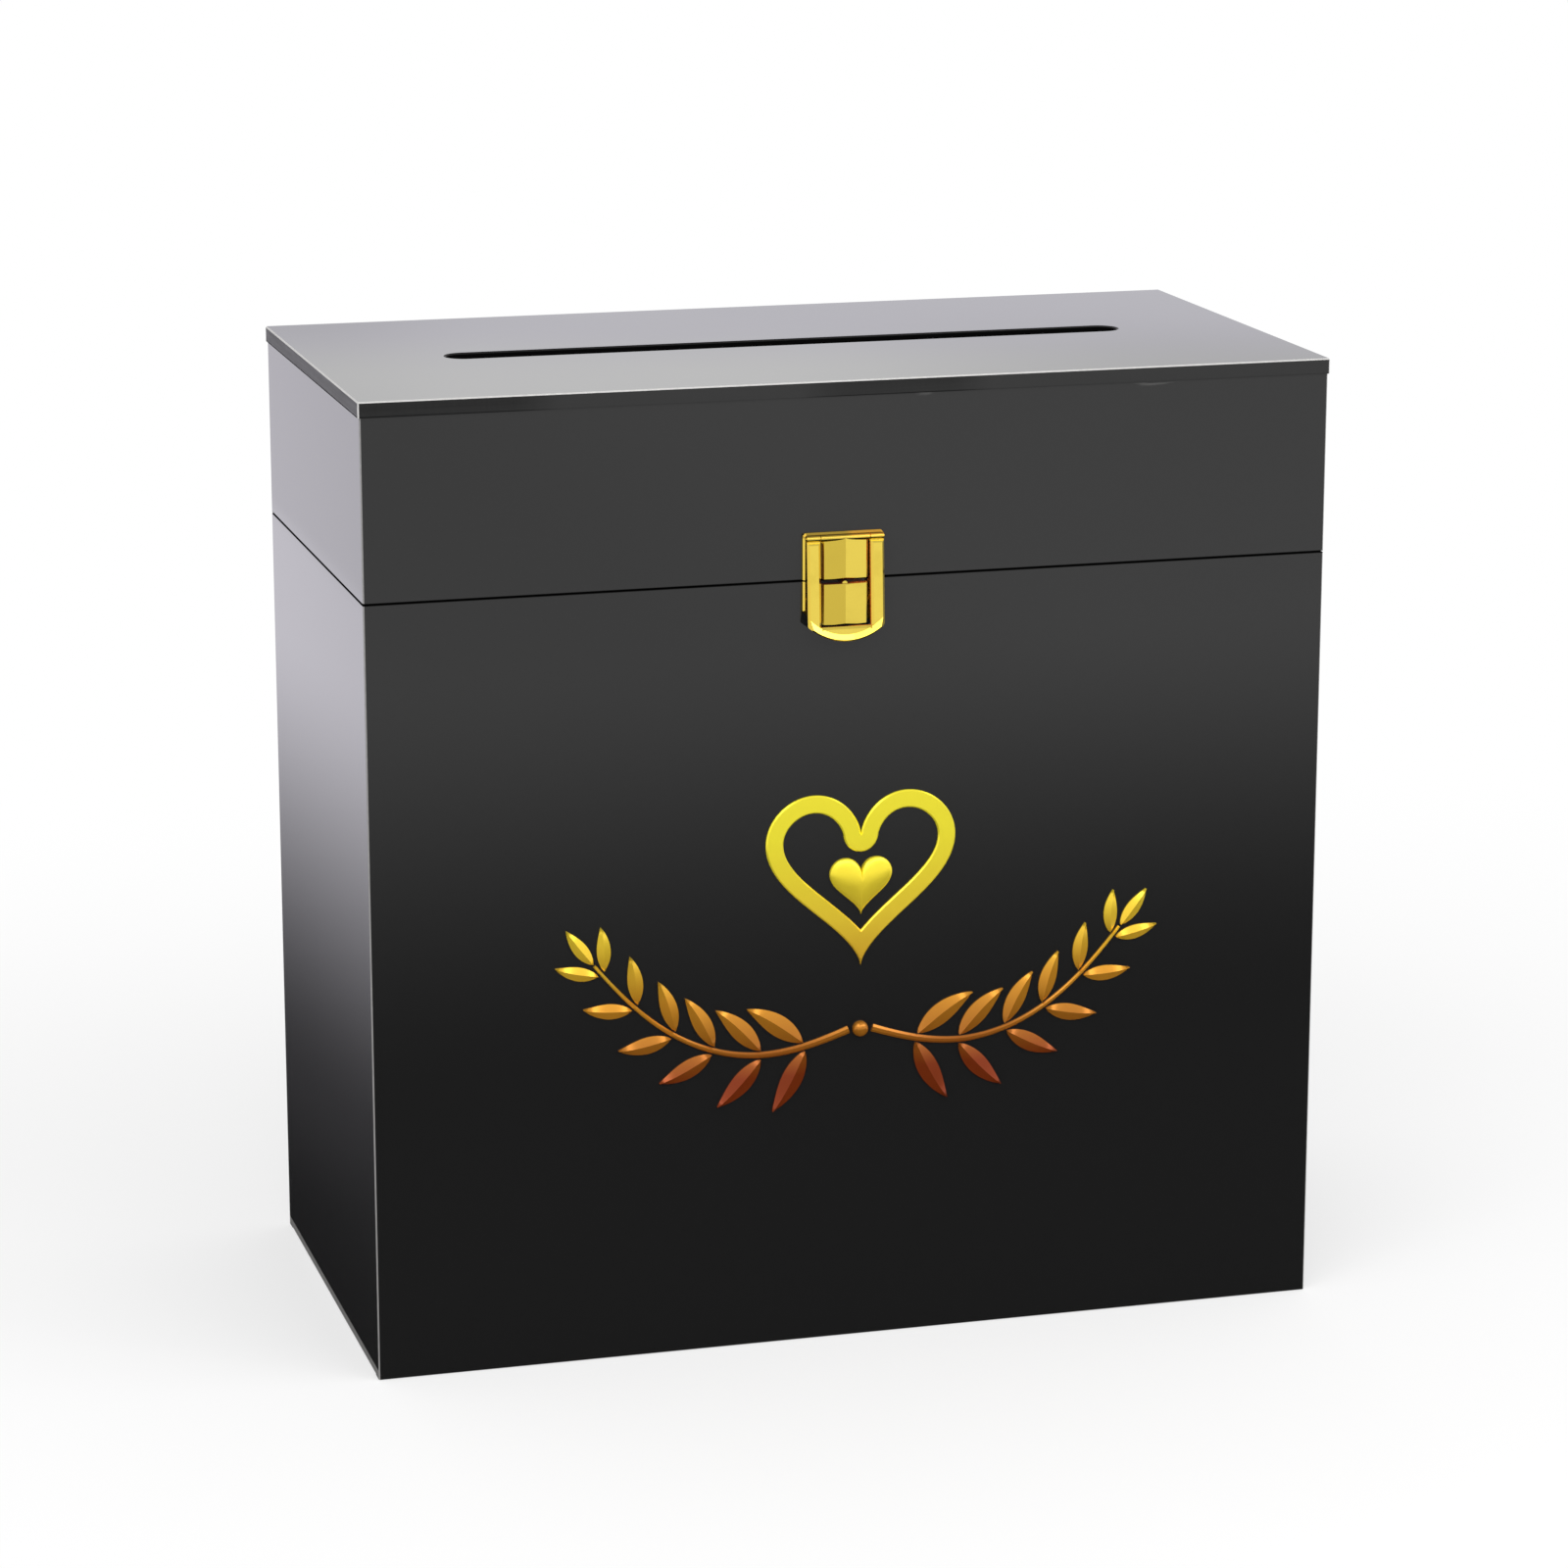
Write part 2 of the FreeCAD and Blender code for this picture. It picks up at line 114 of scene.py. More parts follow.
class Tree:
    """Adds the nodes of a material or a world."""

    def __init__(self, owner):
        owner.use_nodes = True
        self.nodes = owner.node_tree.nodes
        self.links = owner.node_tree.links
        self.nodes.clear()

    def node(self, kind, settings=None, sockets=None, output=0):
        """Add a node: its settings first, then its sockets' values or links. Gives one output."""
        made = self.nodes.new(kind)
        for name, setting in (settings or {}).items():
            if name == "stops":
                self.set_stops(made.color_ramp, setting)
            else:
                setattr(made, name, setting)
        for name, given in (sockets or {}).items():
            if isinstance(given, Value):
                self.links.new(given.socket, made.inputs[name])
            else:
                made.inputs[name].default_value = given
        if made.outputs:
            return Value(self, made.outputs[output])
        return None

    @staticmethod
    def set_stops(ramp, stops):
        """Give a colour ramp its positions and colours."""
        while len(ramp.elements) < len(stops):
            ramp.elements.new(1.0)
        for element, (position, color) in zip(ramp.elements, stops):
            element.position = position
            element.color = (*color, 1.0)

    def maths(self, operation, *values):
        return self.node("ShaderNodeMath", {"operation": operation}, dict(enumerate(values)))

    def largest(self, *values):
        result = values[0]
        for value in values[1:]:
            result = self.maths("MAXIMUM", result, value)
        return result

    def fade(self, value, low, high):
        """0 at low, 1 at high, with a smooth step between."""
        return self.node(
            "ShaderNodeMapRange",
            {"interpolation_type": "SMOOTHSTEP"},
            {"Value": value, "From Min": low, "From Max": high},
        )

    def mix(self, factor, first, second):
        """Colour between two, each a plain colour or a Value."""
        first, second = (c if isinstance(c, Value) else (*c, 1.0) for c in (first, second))
        return self.node(
            "ShaderNodeMix", {"data_type": "RGBA"}, {0: factor, 6: first, 7: second}, 2
        )

    def place(self):
        """Object coordinates, which are metres in the frame of the box."""
        return self.node("ShaderNodeTexCoord", output="Object")

    def parts(self, vector):
        return [
            self.node("ShaderNodeSeparateXYZ", None, {0: vector}, axis) for axis in ("X", "Y", "Z")
        ]

    def turned_to(self):
        """How far a face looks along each axis of the box, below 0 for the axis's other end."""
        return self.parts(self.node("ShaderNodeTexCoord", output="Normal"))

    def facing(self):
        """How far a face looks along each axis of the box, whichever way."""
        return [abs(part) for part in self.turned_to()]

    def noise(self, vector, stretch, detail=3.0):
        """Noise with so many cells to the metre along each axis."""
        stretched = self.node(
            "ShaderNodeVectorMath", {"operation": "MULTIPLY"}, {0: vector, 1: stretch}
        )
        return self.node(
            "ShaderNodeTexNoise", None, {"Vector": stretched, "Scale": 1.0, "Detail": detail}
        )

    def bump(self, height, distance):
        return self.node("ShaderNodeBump", None, {"Height": height, "Distance": distance})

    def principled(self, **sockets):
        """Principled shader; underscores stand for the spaces in socket names."""
        named = {name.replace("_", " "): given for name, given in sockets.items()}
        return self.node("ShaderNodeBsdfPrincipled", None, named)

    def blend(self, factor, first, second):
        return self.node("ShaderNodeMixShader", None, {0: factor, 1: first, 2: second})

    def matt(self, color):
        return self.node("ShaderNodeBsdfDiffuse", None, {"Color": (*color, 1.0)})

    def ray(self, kind):
        """1 for rays of one kind, such as Camera or Glossy."""
        return self.node("ShaderNodeLightPath", output=f"Is {kind} Ray")

    def surface(self, shader):
        self.node("ShaderNodeOutputMaterial", None, {"Surface": shader})


# Finishes: noise in cells to the metre along X, Y and Z, and the depth of bumps in metres


ACRYLIC_IOR = 1.49
WIPE_MARKS = (6.0, 6.0, 90.0)
TOUCH_MARKS = (16.0, 16.0, 16.0)
SCRAPE_GRAIN = (700.0, 700.0, 700.0)
SHEET_WAVES = (7.0, 7.0, 7.0)
SAW_ALONG = (30.0, 30.0, 2600.0)
SAW_ACROSS = (1400.0, 1400.0, 160.0)
SAW_DEPTH = 6e-6
SAW_GLOSS = 0.15
CEMENT_SMEARS = (45.0, 45.0, 500.0)
BUFFING_STREAKS = (7.0, 7.0, 500.0)
ROLLED_GRAIN = (500.0, 500.0, 5000.0)
ROLLED_DEPTH = 1e-6
TARNISH_BLOTCHES = (160.0, 160.0, 160.0)
ZINC_MOTTLE = (700.0, 700.0, 700.0)
ZINC_DEPTH = 4e-6
ZINC_DARK = (0.50, 0.51, 0.53)
ZINC_PALE = (0.66, 0.66, 0.65)
FOIL_STREAKS = (60.0, 60.0, 900.0)
FOIL_DEPTH = 2e-6
FOIL_METAL = 0.55
LITTLE_DETAIL = 1.0
MORE_DETAIL = 4.0

# Shares of a finish, of a painted highlight or of painted shade, where it shows most
FOOT_HIGHLIGHT = 0.9
CEMENT_PALENESS = 0.25
MIDDLE_SATIN = 0.8
BUFFED_SATIN = 0.2
SLOT_SHADE_SHARE = 0.85
TOP_SHADE_SHARE = 0.5
LEFT_SHADE = 0.55

# Ranges to fade over: values of noise or painted shade, parts of a normal, then distances on the
# box
TOUCHED = (0.4, 0.75)
SAW_MARKED = (0.3, 0.7)
SMEARED = (0.6, 0.68)
TARNISHED = (0.45, 0.8)
SHADE_TO_MATT = (0.6, 1.0)
CORNER = (0.95, 0.85)
SQUARE_ON = (0.8, 0.95)
LEVEL_RIM = (0.9, 0.98)
UPRIGHT = (0.5, 0.3)
IN_SLOT = (0.85, 0.6)
CUT_FACE = (0.5, 0.2)
TURNED_LEFT = (-0.03, -0.07)
FOOT_HIGHLIGHT_STRIP = (2.5 * MM, 2.2 * MM)
CEMENT_BELOW_PLATE = (1.2 * MM, 0.4 * MM)
SEAM_SHADE_HALF = (0.42 * MM, 0.30 * MM)
PLATE_BORDER = (4 * MM, 3 * MM)
PLATE_JOINT_SHADE = (0.35 * MM, 0.2 * MM)
LEFT_STRETCH = (-70 * MM, -90 * MM)
MIDDLE_STRETCH = (32 * MM, 12 * MM)
MIDDLE_STRETCH_AT = 10 * MM
WINDOW_MARGIN = (0.4 * MM, 0.2 * MM)
UNDER_BARREL = (2.0 * MM, 2.4 * MM)
TOP_SHADE = (1.6 * MM, 0.8 * MM)
PALER_SHADE = (0.0, 3 * MM)


def new_finish(name):
    material = bpy.data.materials.new(name)
    return material, Tree(material)


def polished_acrylic(tree, sheet, place, scraped, scraped_color):
    """Glossy sheet with faint wipe marks, which turns pale and rough where it is scraped, smeared,
    or given a painted highlight.
    """
    wiped = tree.noise(place, WIPE_MARKS)
    touched = tree.noise(place, TOUCH_MARKS, MORE_DETAIL)
    grated = tree.noise(place, SCRAPE_GRAIN)
    rough = sheet.roughness * (0.7 + 0.4 * wiped + 0.6 * tree.fade(touched, *TOUCHED))
    return tree.principled(
        Base_Color=tree.mix(scraped * (0.7 + 0.4 * grated), sheet.color, scraped_color),
        Roughness=rough + scraped * (0.3 + 0.3 * grated),
        Normal=tree.bump(tree.noise(place, SHEET_WAVES, LITTLE_DETAIL), sheet.drift),
        IOR=ACRYLIC_IOR,
    )


def sawn_acrylic(tree, sheet, place):
    """Satin edge with the marks of the saw along and across it."""
    along = tree.noise(place, SAW_ALONG)
    across = tree.noise(place, SAW_ACROSS)
    sawn = 0.6 * along + 0.4 * across
    return tree.principled(
        Base_Color=tree.mix(tree.fade(sawn, *SAW_MARKED), sheet.color, sheet.sawn_color),
        Roughness=sheet.sawn_roughness * (0.6 + 0.8 * sawn),
        Normal=tree.bump(sawn, SAW_DEPTH),
        Specular_IOR_Level=SAW_GLOSS,
        IOR=ACRYLIC_IOR,
    )


def wall_acrylic(name, sheet):
    """Walls: satin rims, painted seam shade, scraped corners, a painted foot highlight, cement
    under the top.
    """
    material, tree = new_finish(name)
    place = tree.place()
    facing = tree.facing()
    height = tree.parts(place)[2]
    scraped = tree.fade(tree.largest(*facing), *CORNER)
    # Painted highlight: a light strip along the foot of the side walls, standing for light caught
    # by their bottom edge.
    foot = FOOT_HIGHLIGHT * tree.fade(height, *FOOT_HIGHLIGHT_STRIP) * tree.fade(facing[0], *SQUARE_ON)
    smear = tree.fade(tree.noise(place, CEMENT_SMEARS), *SMEARED)
    cement = CEMENT_PALENESS * smear * tree.fade(PLATE_UNDERSIDE - height, *CEMENT_BELOW_PLATE)
    pale = tree.largest(scraped, foot, cement)
    glossy = polished_acrylic(tree, sheet, place, pale, sheet.corner_and_foot_highlight_color)
    rim = tree.fade(facing[2], *LEVEL_RIM)
    edged = tree.blend(rim, glossy, sawn_acrylic(tree, sheet, place))
    # Painted shade: a black matt band on both sides of the lid seam, standing for the shade in the
    # gap.
    seam_shade = tree.fade(abs(height - SEAM), *SEAM_SHADE_HALF)
    tree.surface(tree.blend(seam_shade, edged, tree.matt(sheet.seam_shade_color)))
    return material


def plate_acrylic(name, sheet):
    """Top plate: scraped edges, satin sides, a painted shade line under them, and painted shade in
    the slot.

    Its front and back sides are buffed but for a stretch on the left and one in the middle.
    """
    material, tree = new_finish(name)
    place = tree.place()
    facing = tree.facing()
    low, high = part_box("lid_top_panel")
    x, y, height = tree.parts(place)
    inner, outer = PLATE_BORDER
    outside = tree.largest(
        tree.fade(abs(x), high.x - inner, high.x - outer),
        tree.fade(abs(y), high.y - inner, high.y - outer),
    )
    scraped = outside * tree.fade(tree.largest(*facing), *CORNER)
    streak = tree.noise(place, BUFFING_STREAKS)
    left_stretch = tree.fade(x, *LEFT_STRETCH)
    middle_stretch = tree.fade(abs(x - MIDDLE_STRETCH_AT), *MIDDLE_STRETCH)
    satin = tree.largest(left_stretch, MIDDLE_SATIN * middle_stretch, BUFFED_SATIN)
    buffed = (1.0 - satin * (1.3 - 0.8 * streak)) * tree.fade(facing[1], *SQUARE_ON)
    sawn = outside * tree.fade(facing[2], *UPRIGHT) * (1.0 - scraped) * (1.0 - buffed)
    glossy = polished_acrylic(tree, sheet, place, scraped, sheet.plate_edge_color)
    edged = tree.blend(sawn, glossy, sawn_acrylic(tree, sheet, place))
    # Painted shade: a black matt line at the foot of the sawn sides, where the plate meets the
    # walls, also standing for the cement joint.
    joint_shade = sawn * tree.fade(height - low.z, *PLATE_JOINT_SHADE)
    joint_shaded = tree.blend(joint_shade, edged, tree.matt(sheet.seam_shade_color))
    # Painted shade: the slot's sides are mixed to a near-black matt, as if in shadow.
    slot_shade = (1.0 - outside) * tree.fade(facing[2], *IN_SLOT)
    tree.surface(tree.blend(SLOT_SHADE_SHARE * slot_shade, joint_shaded, tree.matt(sheet.slot_shade_color)))
    return material


def rolled_gold(tree, gold, place):
    """Tarnish, roughness and normal of gold plating over rolled sheet."""
    grain = tree.noise(place, ROLLED_GRAIN)
    tarnish = tree.fade(tree.noise(place, TARNISH_BLOTCHES, MORE_DETAIL), *TARNISHED)
    rough = gold.roughness * (0.8 + 0.3 * grain + 0.3 * tarnish)
    return 0.3 * tarnish, rough, tree.bump(grain, ROLLED_DEPTH)


def gold_plating(name, gold):
    """Bright plating of the hinges, screws and rivets, slightly tarnished."""
    material, tree = new_finish(name)
    tarnish, rough, normal = rolled_gold(tree, gold, tree.place())
    tree.surface(tree.principled(
        Base_Color=tree.mix(tarnish, gold.color, gold.tarnish_and_shade_color),
        Metallic=1.0,
        Roughness=rough,
        Normal=normal,
    ))
    return material


def clasp_plating(name, gold):
    """Plating of the clasp with painted shade: darker where turned left, and red-brown at its top
    and in the window.
    """
    material, tree = new_finish(name)
    place = tree.place()
    tarnish, rough, normal = rolled_gold(tree, gold, place)
    turned_x, turned_y, _ = tree.turned_to()
    x, _, height = tree.parts(place)
    low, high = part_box("clasp_flap")
    half = gold.window_width / 2
    from_middle = x - (low.x + high.x) / 2
    outer, inner = WINDOW_MARGIN
    across = tree.fade(abs(from_middle), half + outer, half + inner)
    under_barrel = tree.fade(high.z - height, *UNDER_BARREL)
    # Painted shade: cut faces in the window, below the barrel, turn to a red-brown matt, as in a
    # deep gap.
    cut = across * under_barrel * tree.fade(abs(turned_y), *CUT_FACE)
    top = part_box("clasp_lid_plate")[1].z
    # Painted shade across the clasp's top, which dims the barrel's highlight, and in the window
    # gaps.
    painted_shade = tree.largest(cut, TOP_SHADE_SHARE * tree.fade(top - height, *TOP_SHADE))
    # Painted shade: faces turned left take the darker tarnish colour, as if in shade; elsewhere it
    # is real tarnish.
    tarnish_and_left_shade = tree.largest(tarnish, LEFT_SHADE * tree.fade(turned_x, *TURNED_LEFT))
    bright = tree.mix(tarnish_and_left_shade, gold.color, gold.tarnish_and_shade_color)
    paler = tree.fade(from_middle, *PALER_SHADE)
    # Painted shade tone: darker left of the middle, lighter on the right.
    shade_tone = tree.mix(paler, gold.window_shade_color, gold.pale_window_shade_color)
    tree.surface(tree.principled(
        Base_Color=tree.mix(painted_shade, bright, shade_tone),
        Metallic=1.0 - 0.8 * tree.fade(painted_shade, *SHADE_TO_MATT),
        Roughness=rough + 0.3 * painted_shade,
        Normal=normal,
    ))
    return material


def zinc_plating(name):
    """Plain zinc plating with a faint mottle."""
    material, tree = new_finish(name)
    mottle = tree.noise(tree.place(), ZINC_MOTTLE, MORE_DETAIL)
    tree.surface(tree.principled(
        Base_Color=tree.mix(mottle, ZINC_DARK, ZINC_PALE),
        Metallic=1.0,
        Roughness=0.24 + 0.2 * mottle,
        Normal=tree.bump(mottle, ZINC_DEPTH),
    ))
    return material


def ornament_gold(name, ornament):
    """Gold foil that shades from yellow at the top to red-brown at the bottom."""
    material, tree = new_finish(name)
    place = tree.place()
    bottom = ornament.middle_height - ornament.height / 2
    level = (tree.parts(place)[2] - bottom) * (1.0 / ornament.height)
    ramp = tree.node(
        "ShaderNodeValToRGB",
        {"stops": [
            (0.0, ornament.bottom_color),
            (0.3, ornament.low_color),
            (0.55, ornament.high_color),
            (0.85, ornament.top_color),
        ]},
        {0: level},
    )
    streak = tree.noise(place, FOIL_STREAKS)
    tree.surface(tree.principled(
        Base_Color=ramp,
        Metallic=FOIL_METAL,
        Roughness=0.2 + 0.1 * streak,
        Normal=tree.bump(streak, FOIL_DEPTH),
    ))
    return material


# Meshes


FASTENER_SHARP_ANGLE = 35.0
ORNAMENT_SHARP_ANGLE = 25.0


def add_piece(name, mesh, body, material):
    """Put a mesh in the scene, riding on a body and finished."""
    mesh.materials.append(material)
    piece = bpy.data.objects.new(name, mesh)
    bpy.context.scene.collection.objects.link(piece)
    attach(piece, body)
    return piece


def finished_mesh(name, bm, sharp_angle):
    """Mesh from bmesh data, with outward normals, smooth but for edges past the angle."""
    bmesh.ops.recalc_face_normals(bm, faces=bm.faces)
    mesh = bpy.data.meshes.new(name)
    bm.to_mesh(mesh)
    bm.free()
    mesh.shade_smooth()
    mesh.set_sharp_from_angle(angle=math.radians(sharp_angle))
    return mesh


def bridge(bm, ring, following):
    """Quads between two closed rings of as many vertices."""
    for i in range(len(ring)):
        j = (i + 1) % len(ring)
        bm.faces.new((ring[i], ring[j], following[j], following[i]))


def skin(bm, rings, closed=False):
    """Body through rings in turn, with its ends covered or joined to each other."""
    for ring, following in zip(rings, rings[1:]):
        bridge(bm, ring, following)
    if closed:
        bridge(bm, rings[-1], rings[0])
    else:
        bm.faces.new(rings[0])
        bm.faces.new(rings[-1])


def turned(bm, centre, out, profile, segments):
    """Rings about an axis along Y, from pairs of radius and height; out is 1 or -1.

    A pair may be a function that gives its radius and height for each angle.
    """
    rings = []
    for pair in profile:
        ring = []
        for i in range(segments):
            angle = 2 * math.pi * i / segments
            radius, height = pair(angle) if callable(pair) else pair
            ring.append(bm.verts.new(
                centre + Vector((radius * math.cos(angle), out * height, radius * math.sin(angle)))
            ))
        rings.append(ring)
    return rings


# Lines of the ornament, in millimetres across and up from its middle


HEART_STEPS = 240
HALF_HEART_POINTS = 80
HEART_UNITS_HIGH = 29
HEART_UNITS_ABOVE = 12  # of them over the heart's middle
HEART_SHARE = 0.62  # of the ornament's height
NOTCH_STEPS = 20
INSET_KEPT = 0.98  # least distance to the outline, times the inset
SMALL_HEART = 0.33  # times the large one
SMALL_HEART_DROP = 2.8  # its middle, units under the large one's
SMALL_HEART_CREST = 3.2  # its crest, likewise
PUFF_STEPS = 8
BEAD_RADIUS = 2.1
BEAD_SIDES = 40
STEM_ROOT = Vector((3.2, 11.0))  # of the right stem, over the lowest leaf
STEM_HEADING = -20.0
STEM_LENGTH = 1.02  # times half the ornament's width
STEM_BENDS = (0.004, 0.026, 0.018, 0.004)
STEM_STEPS = 60
STEM_WIDTH = 2.0
STEM_TAPER = 1.2
STEM_FLAT = 0.4  # of its width
FIRST_LEAVES = 0.9  # steps from the root to the first pair
END_ROOM = 0.25  # steps of the stem over its pairs
LEAF_STEPS = 20
LEAF_BREADTH = 0.3  # times its length
LEAF_POINT = 0.2  # its width at either end
LEAF_BELLY = 0.85  # below 1, a leaf is widest nearer its root
LEAF_FULLNESS = 0.9  # below 1, its sides are rounder
LEAF_CREST = 1.3  # times the ornament's thickness
LEAF_LENGTH = 19.0
LEAF_SHORTENING = 8.0
LEAF_TURN = 54.0
LEAF_CLOSING = 14.0
LEAF_BEND = 0.45
LEAF_STALK = 1.6
END_LEAF_LENGTH = 11.5
END_LEAF_BEND = 0.2
END_LEAF_STALK = 0.6


def sweep(start, heading, length, bends, steps):
    """Points along a line whose curvature runs evenly through the given bends."""
    points = [Vector(start)]
    angle = math.radians(heading)
    for i in range(steps):
        share = (i + 0.5) / steps * (len(bends) - 1)
        index = min(int(share), len(bends) - 2)
        bend = bends[index] + (bends[index + 1] - bends[index]) * (share - index)
        angle += bend * length / steps
        points.append(points[-1] + Vector((math.cos(angle), math.sin(angle))) * (length / steps))
    return points


def along_line(line, index):
    """Direction of a line at one of its points."""
    last = len(line) - 1
    return (line[min(index + 1, last)] - line[max(index - 1, 0)]).normalized()


def evenly(line, count):
    """Points at even steps along a line, both ends among them."""
    reached = [0.0]
    for here, following in zip(line, line[1:]):
        reached.append(reached[-1] + (following - here).length)
    points = []
    index = 0
    for i in range(count):
        goal = reached[-1] * i / (count - 1)
        while index < len(line) - 2 and reached[index + 1] < goal:
            index += 1
        share = (goal - reached[index]) / (reached[index + 1] - reached[index])
        points.append(line[index].lerp(line[index + 1], share))
    return points


def half_heart(unit, middle):
    """Right half of a heart from notch to tip, 16 units wide and 29 high."""
    line = []
    for i in range(HEART_STEPS + 1):
        t = math.pi * i / HEART_STEPS
        up = 13 * math.cos(t) - 5 * math.cos(2 * t) - 2 * math.cos(3 * t) - math.cos(4 * t)
        line.append(Vector((16 * math.sin(t) ** 3 * unit, up * unit + middle)))
    return evenly(line, HALF_HEART_POINTS)


def both_halves(half):
    """Closed outline from the right half."""
    return half + [Vector((-p.x, p.y)) for p in half[-2:0:-1]]


def inset_half_heart(half, distance):
    """Half heart moved inwards, round about the notch, with its tip kept on the middle line."""
    outline = both_halves(half)
    moved = []
    for i in range(1, NOTCH_STEPS):
        angle = math.pi / 2 * i / NOTCH_STEPS
        moved.append(half[0] + Vector((math.sin(angle), -math.cos(angle))) * distance)
    for i, here in enumerate(half):
        along = along_line(half, i)
        moved.append(here + Vector((along.y, -along.x)) * distance)
    line = [half[0] - Vector((0.0, distance))]
    for point in moved:
        nearest = min((point - other).length for other in outline)
        if point.x > 0 and nearest > INSET_KEPT * distance:
            line.append(point)
    run = (line[-1] - line[-2]).normalized()
    line.append(line[-1] + run * (line[-1].x / -run.x))
    return evenly(line, HALF_HEART_POINTS)


# Properties


def length_property(name, description, default):
    return FloatProperty(
        name=name, description=description, subtype="DISTANCE", unit="LENGTH", default=default,
    )


def color_property(name, description, default):
    return FloatVectorProperty(
        name=name, description=description, subtype="COLOR", size=3, default=default,
        min=0.0, max=1.0,
    )


def share_property(name, description, default):
    return FloatProperty(
        name=name, description=description, subtype="FACTOR", default=default, min=0.0, max=1.0,
    )


def angle_property(name, description, degrees):
    return FloatProperty(
        name=name, description=description, subtype="ANGLE", default=math.radians(degrees),
    )


def power_property(name, description, default):
    return FloatProperty(
        name=name, description=description, subtype="POWER", unit="POWER", default=default, min=0.0,
    )


class CardBoxSheet(bpy.types.PropertyGroup):
    """Black acrylic sheet"""

    color: color_property("Sheet", "Colour of the sheet", (0.0098, 0.0098, 0.0098))
    roughness: share_property("Polish", "Roughness of the polished faces", 0.03)
    sawn_color: color_property("Sawn", "Colour that the saw leaves", (0.014, 0.014, 0.0135))
    # Painted shade: black matt of the seam band and of the line under the top plate's edge
    seam_shade_color: color_property("Seam", "Dull line along the seams", (0.006, 0.006, 0.006))
    # Painted shade: near-black matt for the card slot's sides
    slot_shade_color: color_property("Slot", "Dull sides of the card slot", (0.002, 0.002, 0.002))
    sawn_roughness: share_property("Sawn roughness", "Roughness of sawn edges", 0.42)
    # Also the colour of the painted highlight along the side walls' foot, and of cement smears
    corner_and_foot_highlight_color: color_property("Corners", "Scraped corners of the walls", (0.25, 0.245, 0.24))
    plate_edge_color: color_property("Plate edges", "Scraped edges of the top", (0.6, 0.59, 0.58))
    drift: length_property("Waviness", "Height of the slow waves in the sheet", 0.02 * MM)


class CardBoxGold(bpy.types.PropertyGroup):
    """Gold hardware"""

    color: color_property("Gold", "Colour of the plating", (0.86, 0.66, 0.10))
    # Also the painted shade on the clasp's faces turned left
    tarnish_and_shade_color: color_property("Tarnish", "Where the plating has dulled", (0.63, 0.45, 0.05))
    # Painted shade: red-brown of the clasp's cut faces in the window and of its top, lighter right
    # of the middle
    window_shade_color: color_property("Stain", "Cut faces in the clasp's window", (0.16, 0.03, 0.006))
    pale_window_shade_color: color_property("Pale stain", "The same on the right", (0.75, 0.2, 0.02))
    roughness: share_property("Roughness", "Roughness of the plating", 0.15)
    window_width: length_property("Window", "Width of the opening in the clasp's flap", 13.2 * MM)
    head_height: length_property("Head height", "Height of a screw head", 0.9 * MM)
    head_dome: length_property("Head dome", "Part of a screw head that is domed", 0.35 * MM)
    slot_width: length_property("Slot width", "Width of a screw's slot", 0.6 * MM)
    slot_depth: length_property("Slot depth", "Depth of a screw's slot", 0.45 * MM)
    shank_diameter: length_property("Shank", "Diameter of a screw's shank", 1.96 * MM)
    thread_pitch: length_property("Pitch", "Distance between a screw's threads", 0.4 * MM)
    thread_length: length_property("Thread", "Length of a screw's thread", 3.0 * MM)
    rivet_diameter: length_property("Rivet", "Diameter of a rivet's shank", 1.8 * MM)
    rivet_dome: length_property("Rivet head", "Height of a rivet's inner head", 0.8 * MM)


class CardBoxOrnament(bpy.types.PropertyGroup):
    """Gold heart and leaf sprays on the front"""

    width: length_property("Width", "Across both sprays", 152 * MM)
    height: length_property("Height", "From the lowest leaf to the top of the heart", 74 * MM)
    middle_height: length_property("Middle", "Height of its middle", 109.5 * MM)
    middle_across: length_property("Offset", "Its middle, right of the box's", 1.5 * MM)
    thickness: length_property("Thickness", "Thickness of the cut-outs", 0.8 * MM)
    bevel: length_property("Bevel", "Bevel round the cut-outs", 0.35 * MM)
    heart_band: length_property("Heart band", "Width of the heart's band", 4.6 * MM)
    leaf_pairs: IntProperty(
        name="Leaf pairs", description="Pairs of leaves on each spray", default=6, min=1,
    )
    top_color: color_property("Top", "Colour at the top", (0.98, 0.86, 0.04))
    high_color: color_property("High", "Colour above the middle", (0.92, 0.66, 0.04))
    low_color: color_property("Low", "Colour below the middle", (0.66, 0.29, 0.02))
    bottom_color: color_property("Bottom", "Colour at the bottom", (0.24, 0.035, 0.004))


class CardBoxStudio(bpy.types.PropertyGroup):
    """Camera and light"""

    camera_place: FloatVectorProperty(
        name="Camera", description="Place of the camera", subtype="TRANSLATION", unit="LENGTH",
        size=3, default=(-0.35015, -1.23872, 0.45145),
    )
    camera_turn: angle_property("Turn", "How far it looks right of straight ahead", 15.749)
    camera_tilt: angle_property("Tilt", "How far it looks down", 13.878)
    camera_lens: FloatProperty(
        name="Lens", description="Focal length on a 36 mm sensor",
        subtype="DISTANCE_CAMERA", default=113.44, min=1.0,
    )
    daylight: share_property("Daylight", "Strength of the surround as a light", 0.72)
    key: power_property("Key light", "Power of the large soft box", 18.0)
    fill: power_property("Fill light", "Power of the soft box on the right", 6.0)
    front: power_property("Front light", "Power of the wide soft box in front", 15.0)


class CardBoxSettings(bpy.types.PropertyGroup):
    """All that a user would change"""

    sheet: PointerProperty(type=CardBoxSheet)
    gold: PointerProperty(type=CardBoxGold)
    ornament: PointerProperty(type=CardBoxOrnament)
    studio: PointerProperty(type=CardBoxStudio)


